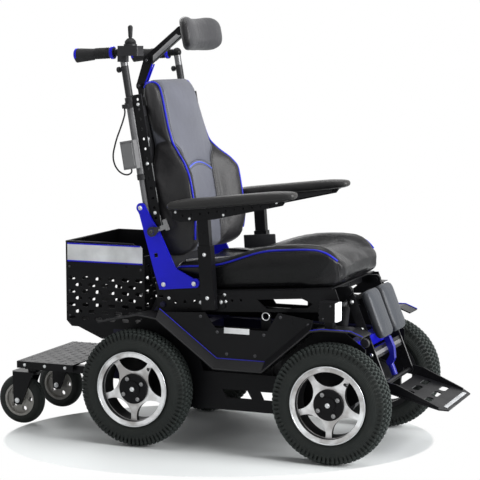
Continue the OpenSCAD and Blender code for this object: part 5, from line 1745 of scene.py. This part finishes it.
@dataclass
class Upholstery:
    """Seat, back, headrest, arm and calf pads."""

    shop: Workshop
    seat: Cushion | None = None

    def build(self) -> None:
        """Fills every pad and sews its piping."""
        stitching = Stitching(self.shop)
        seat = Cushion(self.shop, "seat_cushion", "seat", 6.0, 12.0, 3.0, seams=self._seat_seams(),
                       tucks=self._seat_tucks(), material=self.shop.paints.seat).build()
        stitching.piping(seat, "seat_piping", seat.seams, self.shop.paints.welt)
        stitching.piping(seat, "seat_fold", seat.tucks, self.shop.paints.thread, 1.2)
        back = Cushion(self.shop, "back_cushion", "back", 6.0, 12.0, 3.0, seams=self._back_seams(),
                       tucks=self._back_tucks()).build()
        stitching.piping(back, "back_piping", back.seams, self.shop.paints.welt)
        stitching.piping(back, "back_arch", back.tucks[:1], self.shop.paints.arch, 2.0)
        stitching.piping(back, "back_tuck", back.tucks[1:], self.shop.paints.thread, 1.2)
        Cushion(self.shop, "headrest_pad", "head_pad", 4.0, 6.0, 3.0, seam_depth=0.0,
                material=self.shop.paints.head).build()
        for side in Side:
            name = side.name.lower()
            Cushion(self.shop, f"arm_pad_{name}", f"arm_{name}", 4.0, 5.0, 3.0, 0.8, seam_depth=0.0,
                    material=self.shop.paints.pad).build()
        Cushion(self.shop, "calf_pads", "leg", 4.0, 6.0, 3.0, seam_depth=0.0,
                material=self.shop.paints.calf).build()
        self.seat = seat

    @staticmethod
    def _seat_seams() -> list[Path]:
        """Both edges of the seat."""
        seams = []
        for s in (-1, 1):
            seams.append([FRAMES.seat @ SoftForms.seat_point(s * 0.965, x) for x in range(34, 560, 8)])
        return seams

    @staticmethod
    def _seat_tucks() -> list[Path]:
        """The fold down each front corner, from the end of the piping."""
        paths = []
        for s in (-1, 1):
            top = SoftForms.seat_point(s * 0.985, 554)
            paths.append([FRAMES.seat @ (top + Vector((9 * math.sin(t / 9 * math.pi / 2), s * 3, -t * 8)))
                          for t in range(1, 9)])
        return paths

    @staticmethod
    def _back_seams() -> list[Path]:
        """The edge of each side panel: along its top, then down its front."""
        edge = ((2, 438), (14, 449), (28, 453), (40, 452), (49, 444), (52, 428), (56, 390), (61, 340),
                (66, 300), (75, 262), (87, 236), (104, 210), (120, 188), (131, 160), (136, 130), (137, 80),
                (135, 40), (128, 0), (118, -40))
        inset, shoulder, spread, front = 9, 6, 40, 56

        def half(x: float, z: float) -> float:
            """Half the distance between the two edges at a point."""
            plain = SoftForms.back_half(z) - inset + shoulder * ease(z, 215, 262)
            return plain + spread * SoftForms.back_rise(z) * max(0.0, 1 - x / front)

        return [[FRAMES.back @ Vector((x, s * half(x, z), z)) for x, z in edge] for s in (-1, 1)]

    @staticmethod
    def _back_tucks() -> list[Path]:
        """The arch between the bolsters, then the tuck beside each bolster."""
        reach, crown, drop = 98, 187, 26

        def spot(y: float, z: float) -> Vector:
            """A point on the front of the cushion."""
            return FRAMES.back @ SoftForms.back_point(y / SoftForms.back_half(z), z)

        paths = [[spot(y, crown - drop * (y / reach) ** 2) for y in range(-reach, reach + 1, 7)]]
        for s in (-1, 1):
            paths.append([spot(s * (100 + 41 * ease(z, 185, 262)), z) for z in range(256, -64, -8)])
        return paths


@dataclass
class Backrest:
    """Rails, posts, shell and push handles."""

    shop: Workshop
    post_x: float = -17.0
    post_y: float = 200.0
    collars: Sequence[float] = (168.0, 402.0)
    sleeve: Sequence[float] = (411.5, 506.0, 11.1, 11.5)
    ring: Sequence[Point] = ((16.4, 27), (19, 27.6), (19.4, 31), (19, 36.4), (16.4, 37))
    cap: Sequence[Point] = ((18.6, 149), (20.2, 149.6), (20.2, 155), (16.4, 158.6))
    rib_r: float = 16.1
    knob: Sequence[Point] = ((4, 0), (4, 4), (8.5, 5), (9, 8), (9, 13), (7, 15))
    knob_x: float = -28.0
    knob_z: float = 498.0
    rail_front: float = 26.0
    rail_y: float = 207.5
    bare: Sequence[tuple[float, float]] = ((8, 45), (85, 130), (150, 205), (255, 285))
    body: str = "back"

    def dress(self) -> None:
        """Paints the back frame and adds collars, sleeves, grip details, bare edges and bolts."""
        shop, paints = self.shop, self.shop.paints
        shop.coat(paints.black, "back_rails", "push_handles")
        shop.coat(paints.post, "back_posts")
        shop.coat(paints.plastic, "back_shell", "joystick_housing")
        shop.coat(paints.rubber, "grips")
        box = TwoTone("control_box_shell", (0.21, 0.21, 0.215), (0.02, 0.02, 0.022), 2, 0.985)
        shop.coat(box.make(), "control_box")
        for side in Side:
            self._collars(side)
            self._grip(side)
            name, s = side.name.lower(), side.value
            spots = [(12, s * 210, z) for z in (55, 205, 385)]
            shop.bolts(f"back_rail_bolts_{name}", FRAMES.back, spots, (0, s, 0), self.body, 0.8)
            edges = Shape(FRAMES.back)
            x, y = self.rail_front, s * self.rail_y
            for low, high in self.bare:
                edges.box((x - 0.4, y - 2, low), (x + 0.8, y + 2, high))
            edges.make(f"back_rail_edges_{name}", paints.bright, self.body, 0.3)
        spots = [(x, -240, z) for x in (-47, -17) for z in (203, 275)]
        shop.bolts("control_box_screws", FRAMES.back, spots, (0, -1, 0), self.body, 0.45, paints.dark_steel)

    def _collars(self, side: Side) -> None:
        """Black collars where a post enters its clamps, and the sleeve on its upper end."""
        name, plastic = side.name.lower(), self.shop.paints.plastic
        place = Matrix.Translation((self.post_x, side.value * self.post_y, 0))
        for k, z in enumerate(self.collars):
            profile = ((13.9, z - 9), (15.4, z - 8), (15.4, z + 8), (13.9, z + 9))
            collar = Shape(FRAMES.back).lathe(profile, place, 32)
            collar.make(f"post_collar_{k + 1}_{name}", plastic, self.body)
        low, high, bore, out = self.sleeve
        profile = [(bore, low), (out, low), (out, high), (bore, high)]
        sleeve = Shape(FRAMES.back).lathe(profile, place, 32, ring=True)
        sleeve.make(f"post_sleeve_{name}", plastic, self.body)

    def _grip(self, side: Side) -> None:
        """Blue lock ring, blue end cap and moulded ribs of a grip, and the knob on its post."""
        quarter = Matrix.Rotation(math.radians(-90), 4, "Y")
        axes = FRAMES.handle(side) @ quarter
        name, paints = side.name.lower(), self.shop.paints
        for part, profile in (("ring", self.ring), ("cap", self.cap)):
            turned = Shape(axes).lathe(profile, Matrix.Identity(4), 40)
            turned.make(f"grip_{part}_{name}", paints.blue, self.body)
        place = Matrix.Translation((self.knob_x, side.value * self.post_y, self.knob_z)) @ quarter
        knob = Shape(FRAMES.back).lathe(self.knob, place, 16)
        knob.make(f"post_knob_{name}", paints.plastic, self.body)
        ribs = [[axes @ Vector((x, y, z)) for x, y in circle(self.rib_r, 32)] for z in range(46, 92, 6)]
        self.shop.sewing.welt(f"grip_ribs_{name}", ribs, 1.1, paints.rubber, self.body, closed=True, sides=6)


@dataclass
class Joystick:
    """Attendant's joystick with its bellows."""

    shop: Workshop
    foot: Sequence[Point] = ((17.8, 5.15), (17.8, 6.2), (16.6, 6.8), (17.9, 8.0), (16.5, 9.5), (17.7, 11.0),
                             (16.3, 12.5), (16.7, 14.0))
    crown: Sequence[Point] = ((16.7, 14.0), (15.0, 15.5), (14.5, 17.0), (12.4, 18.5), (11.6, 20.0),
                              (9.6, 21.5), (7.6, 22.5), (5.6, 23.0))
    wall: float = 0.8

    def dress(self) -> None:
        """Paints the stick and adds its bellows."""
        self.shop.coat(self.shop.paints.rubber, "joystick_stick")
        self.shop.coat(self.shop.paints.dark_steel, "joystick_gimbal")
        self._bellows("stick_bellows_foot", self.foot, (6.5, 14.0))
        self._bellows("stick_bellows_crown", self.crown, (14.0, 22.0))

    def _bellows(self, name: str, outer: Sequence[Point],
                 span: tuple[float, float]) -> None:
        """One half of the rubber bellows, turned about the stick's axis.

        Args:
            name: The piece's name.
            outer: Radius and height of each fold, from the bottom up.
            span: Two heights along the stick; read but not used.
        """
        inner = [(r - self.wall, z) for r, z in reversed(outer)]
        boot = Shape(FRAMES.stick).lathe([*outer, *inner], Matrix.Identity(4), 32, ring=True).make(
            name, self.shop.paints.rubber, "")
        low, high = (FRAMES.stick @ Vector((0, 0, z)) for z in span)
        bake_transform(boot)


@dataclass
class Headrest:
    """Headrest arm with its bare side bars."""

    shop: Workshop
    pivot: Point = (-66, 450)
    elbow: Point = (-28, 524)
    end: Point = (97, 594)

    def dress(self) -> None:
        """Paints the arm and adds its bars, blue lines and bolts."""
        shop, paints = self.shop, self.shop.paints
        shop.coat(paints.black, "headrest_arm", "headrest_mount")
        for side in Side:
            name, s = side.name.lower(), side.value
            b, c = (Vector((p[0], p[1])) for p in (self.elbow, self.end))
            along = (c - b).normalized()
            aside = Vector((along.y, -along.x))
            bar = [b + along * 26 + aside * 1, c - along * 4 - aside * 1, c + along * 6 + aside * 6,
                   c - along * 8 + aside * 13, b + along * 14 + aside * 15]
            Shape(FRAMES.back).plate([tuple(q) for q in bar], s * 8, s * 13).make(
                f"headrest_bar_{name}", paints.tube, "head_arm", 1.0)
            line = [FRAMES.back @ Vector((self.pivot[0] + 16, s * 7, self.pivot[1] + 2)),
                    FRAMES.back @ Vector((self.elbow[0] + 14, s * 7, self.elbow[1] - 14))]
            shop.sewing.welt(f"headrest_line_{name}", [line], 2.6, paints.blue, "head_arm")
            spots = [(self.pivot[0], s * 19, self.pivot[1]), (self.elbow[0], s * 15, self.elbow[1])]
            shop.bolts(f"headrest_bolts_{name}", FRAMES.back, spots, (0, s, 0), "head_arm", 0.8,
                       paints.dark_steel)


@dataclass
class ArmSupports:
    """Arm frames with their fasteners and linings."""

    shop: Workshop
    lining: Sequence[Point] = ((90, 258), (200, 260), (404, 288), (404, 300), (90, 282))

    def dress(self) -> None:
        """Paints the arm frames and adds bolts and linings under the pads."""
        for side in Side:
            name, s = side.name.lower(), side.value
            self.shop.coat(self.shop.paints.black, f"arm_frame_{name}")
            spots = [(x, s * 245.6, z) for x, z in ((76, 280), (120, 259), (230, 266), (400, 296))]
            self.shop.bolts(f"arm_bolts_{name}", FRAMES.seat, spots, (0, s, 0), f"arm_{name}", 0.6)
            lining = Shape(FRAMES.seat).plate(self.lining, s * 237, s * 240)
            lining.make(f"arm_lining_{name}", self.shop.paints.plastic, f"arm_{name}")


@dataclass
class LegSupport:
    """Leg rails, damper and footplate."""

    shop: Workshop
    rail_y: float = 136.0
    rail_face: float = 140.0
    knob: Sequence[Point] = ((5, 0), (5, 8), (13, 9), (14.5, 12), (14.5, 18), (12, 21))
    knob_z: float = -160.0
    bolt_rows: Sequence[float] = (-34, -120, -201)

    def dress(self) -> None:
        """Paints the leg support and adds bare edges, knobs, grip strip and bolts."""
        shop, paints = self.shop, self.shop.paints
        shop.coat(paints.black, "leg_frame")
        shop.coat(paints.plate, "footplate")
        shop.coat(paints.damper, "leg_damper")
        edges = Shape(FRAMES.leg)
        for side in Side:
            name, s = side.name.lower(), side.value
            middle = s * self.rail_y
            edges.box((12.6, middle - 2.4, -290), (13.6, middle + 2.4, -190))
            spots = [(0, s * self.rail_face, z) for z in self.bolt_rows]
            shop.bolts(f"leg_bolts_{name}", FRAMES.leg, spots, (0, s, 0), "leg")
            place = Matrix.Translation((0, s * self.rail_face, self.knob_z))
            outward = place @ Matrix.Rotation(math.radians(-90 * s), 4, "X")
            knob = Shape(FRAMES.leg).lathe(self.knob, outward, 14)
            knob.make(f"leg_knob_{name}", paints.plastic, "leg", smooth=False)
        edges.box((8.6, -131, -208), (9.6, 131, -197))
        edges.make("leg_bare_edges", paints.tube, "leg", 0.3)
        strip = Shape(FRAMES.foot)
        strip.box((184, -112, -10.2), (196, 112, -8.4))
        strip.make("foot_grip_strip", paints.grit, "foot", 0.5)


@dataclass
class LapBelt:
    """Two straps with buckle halves that lie on the seat."""

    shop: Workshop
    upholstery: Upholstery
    half_w: float = 19.0
    thick: float = 2.2
    buckle: Point = (24, 23, 5)
    body: str = "seat"

    def build(self) -> None:
        """Lays the straps on the cushion."""
        skin = self.upholstery.seat.surface()
        stitching = Stitching(self.shop)
        for side, ends in ((Side.RIGHT, ((60, -172), (250, -70))), (Side.LEFT, ((60, 172), (230, 60)))):
            name = side.name.lower()
            start, stop = (Vector((x, y, 190)) for x, y in ends)
            path = [FRAMES.seat @ start.lerp(stop, t / 10) for t in range(11)]
            line = stitching.relaxed([p for p, _ in stitching.on_skin(skin, path, 1.5, 0.012)])
            along = (line[-1] - line[0]).normalized()
            across = along.cross(Vector((0, 0, 1))).normalized() * (-self.half_w * MM)
            strap = Shape(Matrix.Identity(4)).ribbon(line, across, self.thick * MM)
            belt = strap.make(f"lap_belt_{name}", self.shop.paints.webbing, self.body)
            length = sum((b - a).length for a, b in zip(line, line[1:]))
            LOG.info("%s is %.0f mm long", belt.name, length / MM)
            aim = along.to_track_quat("X", "Z").to_matrix().to_4x4()
            end = Matrix.Translation(line[-1] + Vector((0, 0, 0.006))) @ aim
            buckle = Shape(end @ Matrix.Scale(MM, 4)).box([-v for v in self.buckle], self.buckle)
            buckle.make(f"belt_buckle_{name}", self.shop.paints.plastic, self.body, 3.0)


def main() -> None:
    """Builds the studio and every sub-assembly, then removes the head masters."""
    logging.basicConfig(level=logging.INFO, format="%(name)s: %(message)s")
    Studio().build()
    shop = Workshop()
    ControlCable(shop).build()
    DriveWheels(shop).dress()
    Chassis(shop).dress()
    Basket(shop).dress()
    Platform(shop).dress()
    SeatFrame(shop).dress()
    Backrest(shop).dress()
    Joystick(shop).dress()
    Headrest(shop).dress()
    ArmSupports(shop).dress()
    LegSupport(shop).dress()
    upholstery = Upholstery(shop)
    upholstery.build()
    LapBelt(shop, upholstery).build()
    shop.heads.clear()


if __name__ == "__main__":
    main()
